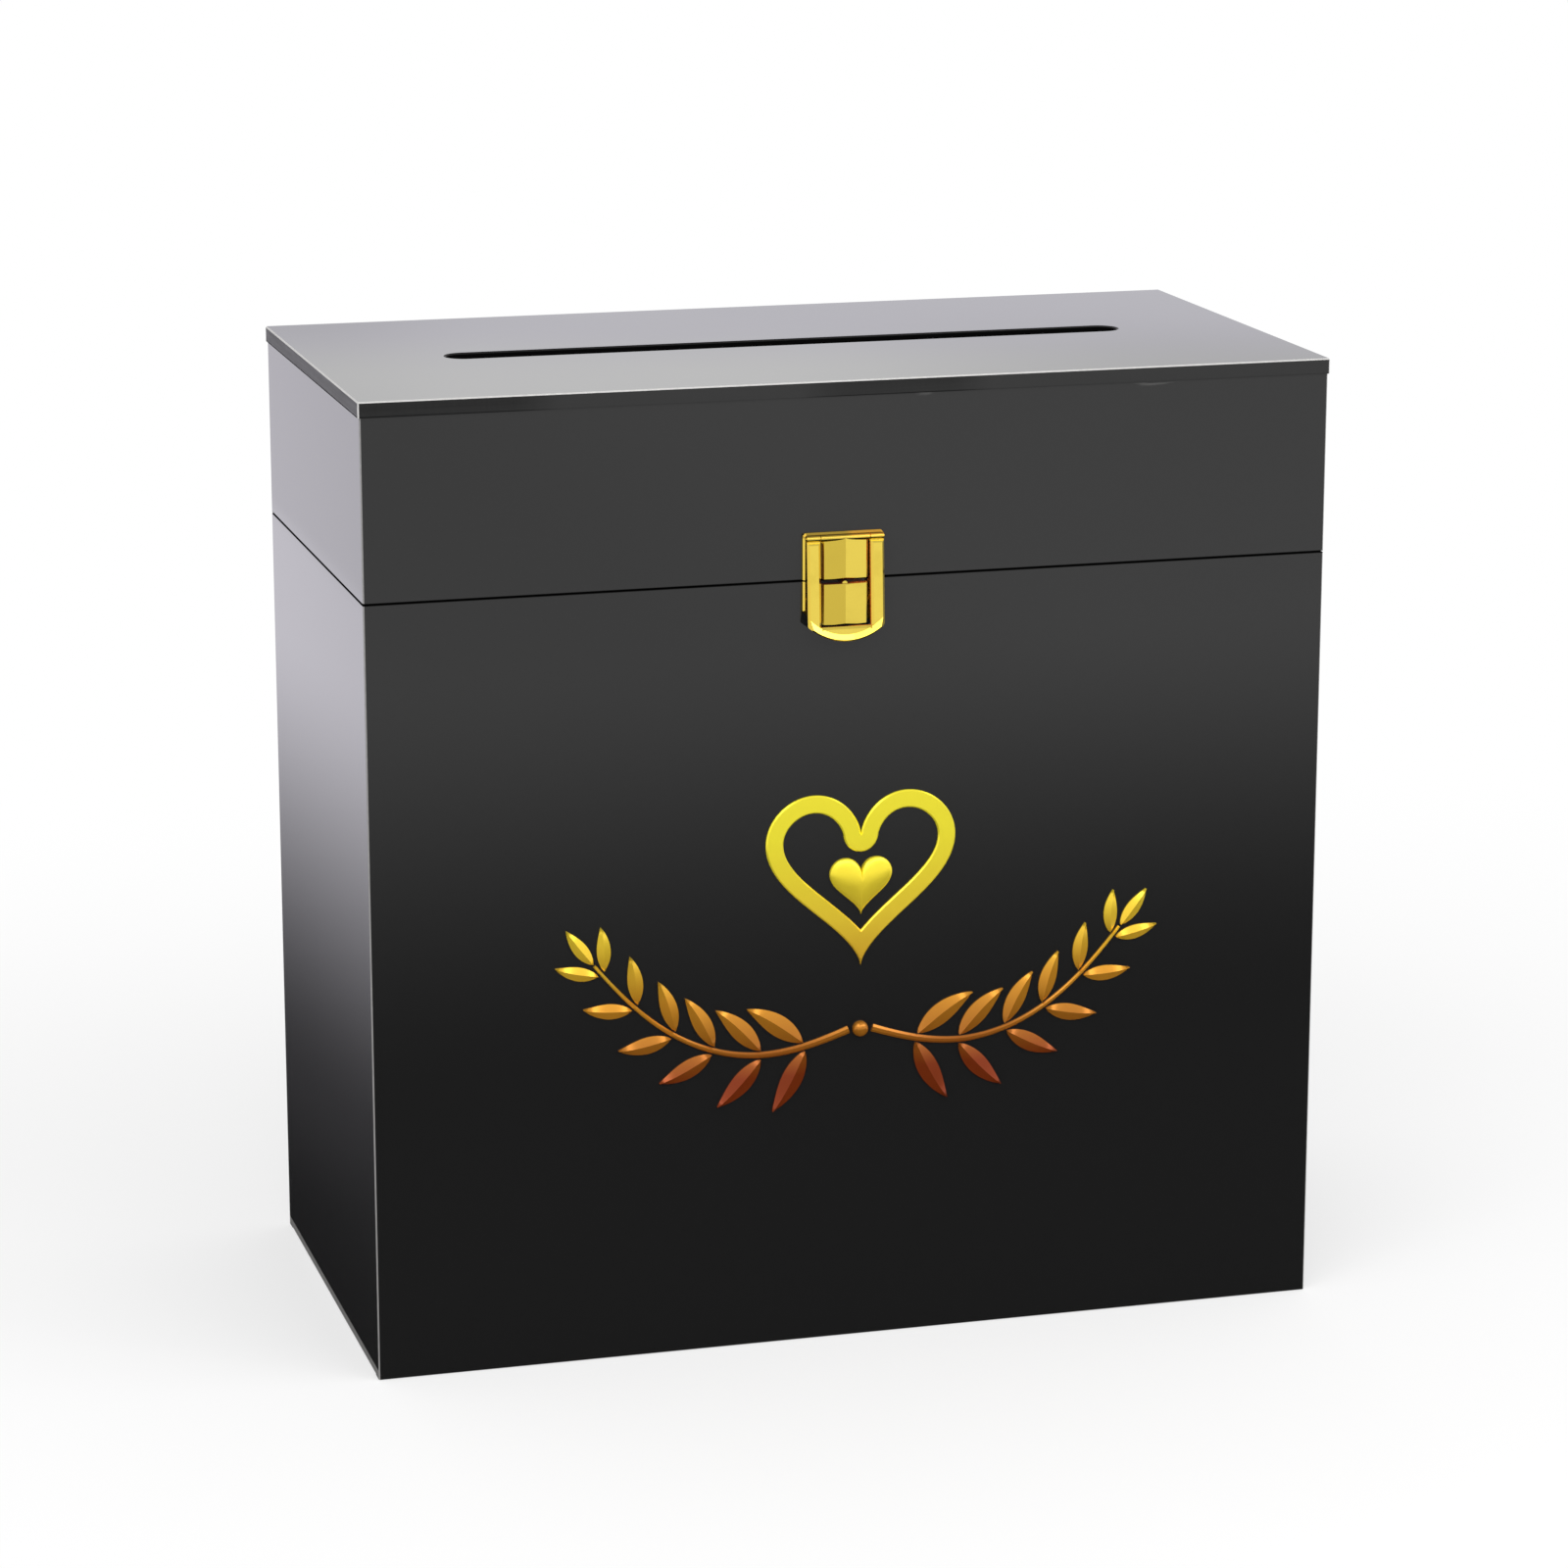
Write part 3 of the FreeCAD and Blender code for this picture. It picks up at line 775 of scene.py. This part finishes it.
def dress(nodes, material):
    """Give CAD nodes a finish."""
    for name in nodes:
        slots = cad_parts[name].material_slots
        if not slots:
            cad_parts[name].data.materials.append(material)
        for slot in slots:
            slot.material = material


def fasteners(node, count):
    """Middle across, middle up and radius of each of the like fasteners in a node."""
    low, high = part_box(node)
    level = (low.z + high.z) / 2
    places = sorted(vertex.co.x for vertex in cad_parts[node].data.vertices)
    groups = [[places[0]]]
    for x in places[1:]:
        if x - groups[-1][-1] > FASTENERS_APART:
            groups.append([])
        groups[-1].append(x)
    if len(groups) != count:
        raise RuntimeError(f"{node} has {len(groups)} fasteners, not {count}")
    return [((group[0] + group[-1]) / 2, level, (group[-1] - group[0]) / 2) for group in groups]


# Fasteners: counts in a node, sizes and steps


HINGE_FASTENERS = 4
CLASP_RIVETS = 2
SHANK_CAP = 0.2  # radius of the cap on a screw's end, times its shank's
RIVET_CAP = 0.1  # the same on a rivet's end
FIRST_SLOT_TURN = 0.6  # of a screw's slot, in radians
SLOT_TURN_STEP = 1.9  # from one screw to the next
HEAD_STEPS = 10  # from the middle of a head to its rim
SLOT_MARGIN = 1.1  # half widths of the slot that a head's grid leaves out
WELD_DISTANCE = 1e-7
SEAT_MARGIN = 1e-6
THREAD_DEPTH = 0.4  # times the pitch
SHANK_SIDES = 32
NUT_BORE_GAP = 0.05 * MM
NUT_FACE = 0.97  # radius of its round face, times half its width
NUT_SINK = 0.18 * MM
NUT_SIDES = 72
HALF_FLAT = math.pi / 6  # half the angle of a nut's flat
RIVET_CHAMFER = 0.1 * MM
RIVET_EDGE = 0.25  # upright share of a rivet's head
RIVET_STEPS = 8
RIVET_SIDES = 40


# Operators


class CARDBOX_OT_panels(bpy.types.Operator):
    """Finish the acrylic panels of base and lid"""

    bl_idname = "card_box.panels"
    bl_label = "Acrylic Panels"

    def execute(self, context):
        sheet = context.scene.card_box.sheet
        dress(BASE_WALLS + LID_WALLS, wall_acrylic("acrylic_wall", sheet))
        dress(("lid_top_panel",), plate_acrylic("acrylic_top", sheet))
        return {"FINISHED"}


class CARDBOX_OT_hinges(bpy.types.Operator):
    """Finish the leaves and pins of the butt hinges"""

    bl_idname = "card_box.hinges"
    bl_label = "Hinges"

    def execute(self, context):
        dress(LEAVES + HINGE_PINS, gold_plating("hinge_plating", context.scene.card_box.gold))
        return {"FINISHED"}


class CARDBOX_OT_clasp(bpy.types.Operator):
    """Finish the plates, flap and pin of the clasp"""

    bl_idname = "card_box.clasp"
    bl_label = "Clasp"

    def execute(self, context):
        dress(CLASP, clasp_plating("clasp_plating", context.scene.card_box.gold))
        return {"FINISHED"}


class CARDBOX_OT_screws(bpy.types.Operator):
    """Make the slotted screws of the hinges with their threaded ends"""

    bl_idname = "card_box.screws"
    bl_label = "Hinge Screws"

    def execute(self, context):
        gold = context.scene.card_box.gold
        material = gold_plating("screw_plating", gold)
        for body in ("base", "lid"):
            node = f"hinge_{body}_screws"
            low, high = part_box(node)
            seat = high.y - gold.head_height
            bm = bmesh.new()
            for index, (x, z, radius) in enumerate(fasteners(node, HINGE_FASTENERS)):
                turn = FIRST_SLOT_TURN + SLOT_TURN_STEP * index
                self.head(bm, Vector((x, seat, z)), radius, gold, turn)
                self.shank(bm, Vector((x, low.y, z)), seat - low.y, gold)
            mesh = finished_mesh("screws", bm, FASTENER_SHARP_ANGLE)
            piece = add_piece(f"{body}_screws", mesh, body, material)
            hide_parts(node)
        return {"FINISHED"}

    @staticmethod
    def head(bm, seat, radius, gold, turn):
        """Low domed head with a slot, looking along +Y."""
        half = gold.slot_width / 2
        rim = gold.head_height - gold.head_dome
        floor = gold.head_height - gold.slot_depth
        angles = [math.pi / 2 * i / HEAD_STEPS for i in range(-HEAD_STEPS, HEAD_STEPS + 1)]
        steps = [radius * math.sin(angle) for angle in angles]
        left = [step for step in steps if step < -half * SLOT_MARGIN] + [-half]
        right = [half] + [step for step in steps if step > half * SLOT_MARGIN]
        columns = [(step, False) for step in left] + [(-half, True), (half, True)]
        columns += [(step, False) for step in right]
        rows = 2 * HEAD_STEPS
        grid = []
        for across, cut in columns:
            reach = math.sqrt(max(0.0, radius ** 2 - across ** 2))
            line = []
            for j in range(rows + 1):
                along = reach * math.sin(math.pi / 2 * (2 * j / rows - 1))
                spread = min(1.0, (across ** 2 + along ** 2) / radius ** 2)
                height = floor if cut else rim + gold.head_dome * (1 - spread)
                line.append(bm.verts.new(seat + Vector((
                    across * math.cos(turn) - along * math.sin(turn),
                    height,
                    across * math.sin(turn) + along * math.cos(turn),
                ))))
            grid.append(line)
        for line, following in zip(grid, grid[1:]):
            for j in range(rows):
                bm.faces.new((line[j], line[j + 1], following[j + 1], following[j]))
        made = [vertex for line in grid for vertex in line]
        bmesh.ops.remove_doubles(bm, verts=made, dist=WELD_DISTANCE)
        over_seat = seat.y + SEAT_MARGIN
        edge = [e for e in bm.edges if e.is_boundary and e.verts[0].co.y > over_seat]
        sides = bmesh.ops.extrude_edge_only(bm, edges=edge)["geom"]
        for vertex in (item for item in sides if isinstance(item, bmesh.types.BMVert)):
            vertex.co.y = seat.y
        side_edges = [item for item in sides if isinstance(item, bmesh.types.BMEdge)]
        bottom = [item for item in side_edges if item.is_boundary]
        bmesh.ops.contextual_create(bm, geom=bottom)

    @staticmethod
    def shank(bm, tip, length, gold):
        """Shank along +Y whose lower part is threaded."""
        crest = gold.shank_diameter / 2
        root = crest - THREAD_DEPTH * gold.thread_pitch
        cap = SHANK_CAP * crest
        profile = [(cap, 0.0), (root, 0.0)]
        turns = int(gold.thread_length / gold.thread_pitch)
        for i in range(turns):
            profile.append((crest, (i + 0.5) * gold.thread_pitch))
            profile.append((root, (i + 1) * gold.thread_pitch))
        last_turn = (turns + 0.5) * gold.thread_pitch
        profile += [(crest, last_turn), (crest, length), (cap, length)]
        skin(bm, turned(bm, tip, 1, profile, SHANK_SIDES))


class CARDBOX_OT_nuts(bpy.types.Operator):
    """Make the chamfered hexagon nuts inside the back"""

    bl_idname = "card_box.nuts"
    bl_label = "Hinge Nuts"

    def execute(self, context):
        bore = context.scene.card_box.gold.shank_diameter / 2 + NUT_BORE_GAP
        material = zinc_plating("nut_plating")
        for body in ("base", "lid"):
            node = f"hinge_{body}_nuts"
            low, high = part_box(node)
            bm = bmesh.new()
            for x, z, corner in fasteners(node, HINGE_FASTENERS):
                self.nut(bm, Vector((x, high.y, z)), corner, high.y - low.y, bore)
            mesh = finished_mesh("nuts", bm, FASTENER_SHARP_ANGLE)
            piece = add_piece(f"{body}_nuts", mesh, body, material)
            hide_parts(node)
        return {"FINISHED"}

    @staticmethod
    def nut(bm, seat, corner, height, bore):
        """Nut along -Y with its outer corners turned off and its bore countersunk."""
        flat = corner * math.cos(HALF_FLAT)
        inner = NUT_FACE * flat

        def reach(angle):
            turn = (angle + HALF_FLAT) % (2 * HALF_FLAT) - HALF_FLAT
            return flat / math.cos(HALF_FLAT - abs(turn))

        def foot(angle):
            return reach(angle), 0.0

        def shoulder(angle):
            radius = reach(angle)
            return radius, height - (radius - inner) * math.tan(HALF_FLAT)

        profile = [
            (bore, 0.0), foot, shoulder, (inner, height),
            (bore + NUT_SINK, height), (bore, height - NUT_SINK),
        ]
        skin(bm, turned(bm, seat, -1, profile, NUT_SIDES), closed=True)


class CARDBOX_OT_rivets(bpy.types.Operator):
    """Make the rivets of the clasp with domed inner heads"""

    bl_idname = "card_box.rivets"
    bl_label = "Clasp Rivets"

    def execute(self, context):
        gold = context.scene.card_box.gold
        material = gold_plating("rivet_plating", gold)
        for node, name, body in (
            ("clasp_lid_rivets", "lid_rivets_domed", "lid"),
            ("clasp_catch_rivets", "catch_rivets_domed", "base"),
        ):
            low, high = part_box(node)
            bm = bmesh.new()
            for x, z, head in fasteners(node, CLASP_RIVETS):
                self.rivet(bm, Vector((x, low.y, z)), head, high.y - low.y, gold)
            mesh = finished_mesh("rivets", bm, FASTENER_SHARP_ANGLE)
            piece = add_piece(name, mesh, body, material)
            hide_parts(node)
        return {"FINISHED"}

    @staticmethod
    def rivet(bm, end, head, length, gold):
        """Rivet along +Y from its flush end to the top of its inner head."""
        shank = gold.rivet_diameter / 2
        seat = length - gold.rivet_dome
        edge = RIVET_EDGE * gold.rivet_dome
        cap = RIVET_CAP * shank
        profile = [
            (cap, 0.0), (shank - RIVET_CHAMFER, 0.0), (shank, RIVET_CHAMFER), (shank, seat),
            (head, seat),
        ]
        for i in range(RIVET_STEPS + 1):
            angle = math.pi / 2 * i / RIVET_STEPS
            radius = max(cap, head * math.cos(angle))
            profile.append((radius, seat + edge + (gold.rivet_dome - edge) * math.sin(angle)))
        skin(bm, turned(bm, end, 1, profile, RIVET_SIDES))


class CARDBOX_OT_ornament(bpy.types.Operator):
    """Make the gold heart and leaf sprays on the front"""

    bl_idname = "card_box.ornament"
    bl_label = "Ornament"

    def execute(self, context):
        ornament = context.scene.card_box.ornament
        bm = bmesh.new()
        self.hearts(bm, ornament)
        self.bead(bm, ornament)
        for side in (1, -1):
            self.spray(bm, ornament, side)
        mesh = finished_mesh("ornament", bm, ORNAMENT_SHARP_ANGLE)
        material = ornament_gold("ornament_gold", ornament)
        add_piece("front_ornament", mesh, "base", material)
        return {"FINISHED"}

    @staticmethod
    def ring(bm, ornament, points, height, side=1):
        """Vertices over the front wall for points of the ornament."""
        return [
            bm.verts.new((
                ornament.middle_across + side * point.x * MM,
                FRONT_FACE - height,
                ornament.middle_height + point.y * MM,
            ))
            for point in points
        ]

    def hearts(self, bm, ornament):
        """Heart cut as a band, with a small puffed heart in it."""
        unit = HEART_SHARE * ornament.height / MM / HEART_UNITS_HIGH
        middle = ornament.height / MM / 2 - HEART_UNITS_ABOVE * unit
        band = ornament.heart_band / MM
        bevel = ornament.bevel / MM
        shoulder = ornament.thickness - ornament.bevel
        half = half_heart(unit, middle)
        levels = (
            (0.0, 0.0), (0.0, shoulder), (bevel, ornament.thickness),
            (band - bevel, ornament.thickness), (band, shoulder), (band, 0.0),
        )
        rings = []
        for distance, height in levels:
            line = inset_half_heart(half, distance) if distance else half
            rings.append(self.ring(bm, ornament, both_halves(line), height))
        skin(bm, rings, closed=True)
        small = both_halves(half_heart(SMALL_HEART * unit, middle - SMALL_HEART_DROP * unit))
        self.puff(bm, ornament, small, Vector((0.0, middle - SMALL_HEART_CREST * unit)))

    def puff(self, bm, ornament, outline, centre):
        """Rounded body over an outline."""
        edge = ornament.thickness - ornament.bevel
        rings = [self.ring(bm, ornament, outline, 0.0)]
        for i in range(PUFF_STEPS):
            angle = math.pi / 2 * i / PUFF_STEPS
            drawn_in = [centre + (point - centre) * math.cos(angle) for point in outline]
            height = edge + 2 * ornament.thickness * math.sin(angle)
            rings.append(self.ring(bm, ornament, drawn_in, height))
        skin(bm, rings)

    def bead(self, bm, ornament):
        """Round bead between the two stems."""
        centre = Vector((0.0, STEM_ROOT.y - ornament.height / MM / 2))
        angles = [math.tau * i / BEAD_SIDES for i in range(BEAD_SIDES)]
        outline = [centre + Vector((math.cos(a), math.sin(a))) * BEAD_RADIUS for a in angles]
        self.puff(bm, ornament, outline, centre)

    def ribbon(self, bm, ornament, side, line, width, section):
        """Body along a line; section has pairs of a share of the half width and a height."""
        rings = []
        last = len(line) - 1
        for i, here in enumerate(line):
            along = along_line(line, i)
            half = Vector((-along.y, along.x)) * (width(i / last) / 2)
            rings.append([
                self.ring(bm, ornament, [here + half * share], height, side)[0]
                for share, height in section
            ])
        skin(bm, rings)

    def spray(self, bm, ornament, side):
        """Stem with pairs of ridged leaves, on the right (1) or the left (-1)."""
        reach = ornament.width / MM / 2
        low = -ornament.height / MM / 2
        edge = ornament.thickness / 2
        crest = ornament.thickness * LEAF_CREST
        stem_section = (
            (-1, 0.0), (-1, edge), (-STEM_FLAT, ornament.thickness),
            (STEM_FLAT, ornament.thickness), (1, edge), (1, 0.0),
        )
        leaf_section = ((-1, 0.0), (-1, edge), (0, crest), (1, edge), (1, 0.0))
        root = STEM_ROOT + Vector((0.0, low))
        stem = sweep(root, STEM_HEADING, STEM_LENGTH * reach, STEM_BENDS, STEM_STEPS)

        def stem_width(share):
            return STEM_WIDTH - STEM_TAPER * share

        self.ribbon(bm, ornament, side, stem, stem_width, stem_section)

        def leaf(root, heading, length, bend):
            line = sweep(root, heading, length, (0.0, bend / length), LEAF_STEPS)
            breadth = LEAF_BREADTH * length

            def leaf_width(share):
                swell = math.sin(math.pi * share ** LEAF_BELLY) ** LEAF_FULLNESS
                return LEAF_POINT + breadth * swell

            self.ribbon(bm, ornament, side, line, leaf_width, leaf_section)

        pairs = ornament.leaf_pairs
        for i in range(pairs):
            share = (i + FIRST_LEAVES) / (pairs + END_ROOM)
            index = round(share * (len(stem) - 1))
            along = along_line(stem, index)
            heading = math.degrees(math.atan2(along.y, along.x))
            length = LEAF_LENGTH - LEAF_SHORTENING * share
            for hand in (1, -1):
                turn = heading + hand * (LEAF_TURN - LEAF_CLOSING * share)
                away = Vector((math.cos(math.radians(turn)), math.sin(math.radians(turn))))
                leaf(stem[index] + away * LEAF_STALK, turn, length, -LEAF_BEND * hand)
        along = along_line(stem, len(stem) - 1)
        heading = math.degrees(math.atan2(along.y, along.x))
        leaf(stem[-1] + along * END_LEAF_STALK, heading, END_LEAF_LENGTH, END_LEAF_BEND)


# Studio: metres, levels with 1 as white, and ranges to fade over


FLOOR_HALF = 8.0
FLOOR_DROP = 0.2 * MM
PAPER = (0.95, 0.95, 0.95)
WHITE = (1.0, 1.0, 1.0)
MAT_DARK = 0.02  # level of the mat close to the box
MAT_BRIGHTEST = 1.5  # level of its tints
MAT_AHEAD_TINT = (1.5, 1.5, 1.5)
MAT_BEHIND_TINT = (1.54, 1.5, 1.63)
MAT_AHEAD = (0.23, 0.81)
MAT_RIGHT = (0.12, 0.40)
MAT_NEAR = (0.0, 0.5)
MAT_FAR = (0.36, 2.0)
MAT_STEP = (0.176, 0.190)
MAT_TO_BACK = (-0.15, 0.15)
MAT_TO_LEFT = (-0.45, -0.65)
MAT_TO_SIDE = (0.0, 0.3)
SHADOW_FADE = (0.1, 0.5)
SURROUND_LOW = 0.96
SURROUND_HIGH = 0.72
SURROUND_RISE = (0.25, 0.7)
SURROUND_TINT = (1.0, 0.985, 1.06)
TINT_RISE = (0.158, 0.150)
BAND_RISE = (0.145, 0.160)
BAND_ACROSS = (0.36, 0.26)
LOWEST_RISE = (0.154, 0.146)
LOWEST_ACROSS = (0.17, 0.23)
LEFT_ACROSS = (0.21, 0.175)
LIGHTS_AIM = Vector((0.0, 0.0, 0.12))
KEY_PLACE = (-1.3, -1.5, 1.9)
KEY_SIZE = (1.5, 1.5)
FILL_PLACE = (1.7, -0.9, 1.3)
FILL_SIZE = (1.2, 1.2)
FRONT_PLACE = (0.50, -1.69, 1.34)
FRONT_SIZE = (2.7, 0.75)
SENSOR_WIDTH = 36.0


class CARDBOX_OT_stage(bpy.types.Operator):
    """Set up the floor, the surround, the soft boxes and the camera"""

    bl_idname = "card_box.stage"
    bl_label = "Studio"

    def execute(self, context):
        scene = context.scene
        studio = scene.card_box.studio
        self.floor(scene)
        self.surround(scene, studio)
        self.soft_box(scene, "key_light", KEY_PLACE, KEY_SIZE, studio.key)
        self.soft_box(scene, "fill_light", FILL_PLACE, FILL_SIZE, studio.fill)
        self.soft_box(scene, "front_light", FRONT_PLACE, FRONT_SIZE, studio.front)
        self.camera(scene, studio)
        scene.view_settings.view_transform = "Standard"
        return {"FINISHED"}

    @staticmethod
    def floor(scene):
        """White paper, which polished faces see as a dark mat that fades to white."""
        bm = bmesh.new()
        bmesh.ops.create_grid(bm, x_segments=1, y_segments=1, size=FLOOR_HALF)
        mesh = bpy.data.meshes.new("floor")
        bm.to_mesh(mesh)
        bm.free()
        floor = bpy.data.objects.new("floor", mesh)
        floor.location.z = -FLOOR_DROP
        scene.collection.objects.link(floor)
        material, tree = new_finish("floor_white")
        x, y, _ = tree.parts(tree.place())
        high = cad_box[1]
        past_x = tree.largest(abs(x) - high[0], 0.0)
        past_y = tree.largest(abs(y) - high[1], 0.0)
        # Levels of the mat ahead of the box, then at its sides and back
        ahead = MAT_DARK + 0.94 * tree.fade(past_y - 0.1 * x, *MAT_AHEAD)
        front = ahead * (0.89 + 0.13 * tree.fade(x, *MAT_RIGHT))
        away = tree.largest(past_y + 8.6 * past_x, 2.5 * past_y - 3.9 * past_x)
        rising = MAT_DARK + 0.05 * tree.fade(away, *MAT_NEAR) + 1.19 * tree.fade(away, *MAT_FAR)
        round_back = rising - 0.18 * tree.fade(past_x, *MAT_STEP)
        behind = tree.largest(
            tree.fade(y, *MAT_TO_BACK),
            tree.fade(x, *MAT_TO_LEFT),
            tree.fade(past_x - 1.2 * past_y, *MAT_TO_SIDE),
        )
        level = front + behind * (round_back - front)
        tint = tree.mix(behind, MAT_AHEAD_TINT, MAT_BEHIND_TINT)
        glow = tree.mix(level * (1 / MAT_BRIGHTEST), BLACK, tint)
        mat = tree.node("ShaderNodeEmission", None, {"Color": glow})
        paper = tree.matt(PAPER)
        white = tree.node("ShaderNodeEmission", None, {"Color": (*WHITE, 1.0)})
        distance = tree.maths("SQRT", past_x * past_x + past_y * past_y)
        lit = tree.ray("Camera") * (0.5 + 0.5 * tree.fade(distance, *SHADOW_FADE))
        tree.surface(tree.blend(tree.ray("Glossy"), tree.blend(lit, paper, white), mat))
        mesh.materials.append(material)

    @staticmethod
    def surround(scene, studio):
        """White to the camera, softly graded to polished faces, and an even light."""
        scene.world = bpy.data.worlds.new("surround")
        tree = Tree(scene.world)
        across, _, up = tree.parts(tree.node("ShaderNodeTexCoord", output="Generated"))
        band = tree.fade(up, *BAND_RISE) * tree.fade(across, *BAND_ACROSS)
        lowest = tree.fade(up, *LOWEST_RISE) * tree.fade(across, *LOWEST_ACROSS)
        low = SURROUND_LOW + 0.25 * band + 0.08 * lowest - 0.08 * tree.fade(across, *LEFT_ACROSS)
        graded = low + tree.fade(up, *SURROUND_RISE) * (SURROUND_HIGH - low)
        glossy = tree.ray("Glossy")
        light = studio.daylight + glossy * (graded - studio.daylight)
        strength = light + tree.ray("Camera") * (1.0 - light)
        tint = tree.mix(glossy * tree.fade(up, *TINT_RISE), WHITE, SURROUND_TINT)
        sky = tree.node("ShaderNodeBackground", None, {"Color": tint, "Strength": strength})
        tree.node("ShaderNodeOutputWorld", None, {"Surface": sky})

    @staticmethod
    def soft_box(scene, name, place, size, power):
        """Rectangular area light, as wide and high as its size, aimed at the box."""
        data = bpy.data.lights.new(name, "AREA")
        data.shape = "RECTANGLE"
        data.size, data.size_y = size
        data.energy = power
        lamp = bpy.data.objects.new(name, data)
        lamp.location = place
        aim = LIGHTS_AIM - lamp.location
        lamp.rotation_euler = aim.to_track_quat("-Z", "Y").to_euler()
        scene.collection.objects.link(lamp)

    @staticmethod
    def camera(scene, studio):
        """Camera at the place, turn and tilt of the settings."""
        data = bpy.data.cameras.new("camera")
        data.sensor_width = SENSOR_WIDTH
        data.lens = studio.camera_lens
        camera = bpy.data.objects.new("camera", data)
        camera.location = studio.camera_place
        turn = studio.camera_turn
        tilt = studio.camera_tilt
        aim = Vector((
            math.sin(turn) * math.cos(tilt), math.cos(turn) * math.cos(tilt), -math.sin(tilt)
        ))
        camera.rotation_euler = aim.to_track_quat("-Z", "Y").to_euler()
        scene.collection.objects.link(camera)
        scene.camera = camera


STEPS = (
    CARDBOX_OT_panels,
    CARDBOX_OT_hinges,
    CARDBOX_OT_clasp,
    CARDBOX_OT_screws,
    CARDBOX_OT_nuts,
    CARDBOX_OT_rivets,
    CARDBOX_OT_ornament,
    CARDBOX_OT_stage,
)


class CARDBOX_PT_sidebar(bpy.types.Panel):
    """Steps and settings of the card box"""

    bl_idname = "CARDBOX_PT_sidebar"
    bl_label = "Card Box"
    bl_space_type = "VIEW_3D"
    bl_region_type = "UI"
    bl_category = "Card Box"

    def draw(self, context):
        settings = context.scene.card_box
        for step in STEPS:
            self.layout.operator(step.bl_idname)
        for group in (settings.sheet, settings.gold, settings.ornament, settings.studio):
            box = self.layout.box()
            for name in group.__annotations__:
                box.prop(group, name)


CLASSES = (
    CardBoxSheet, CardBoxGold, CardBoxOrnament, CardBoxStudio, CardBoxSettings,
    *STEPS, CARDBOX_PT_sidebar,
)


def register():
    for cls in CLASSES:
        bpy.utils.register_class(cls)
    bpy.types.Scene.card_box = PointerProperty(type=CardBoxSettings)


def unregister():
    del bpy.types.Scene.card_box
    for cls in reversed(CLASSES):
        bpy.utils.unregister_class(cls)


def main():
    register()
    bpy.ops.card_box.panels()
    bpy.ops.card_box.hinges()
    bpy.ops.card_box.clasp()
    bpy.ops.card_box.screws()
    bpy.ops.card_box.nuts()
    bpy.ops.card_box.rivets()
    bpy.ops.card_box.ornament()
    bpy.ops.card_box.stage()


if __name__ == "__main__":
    main()
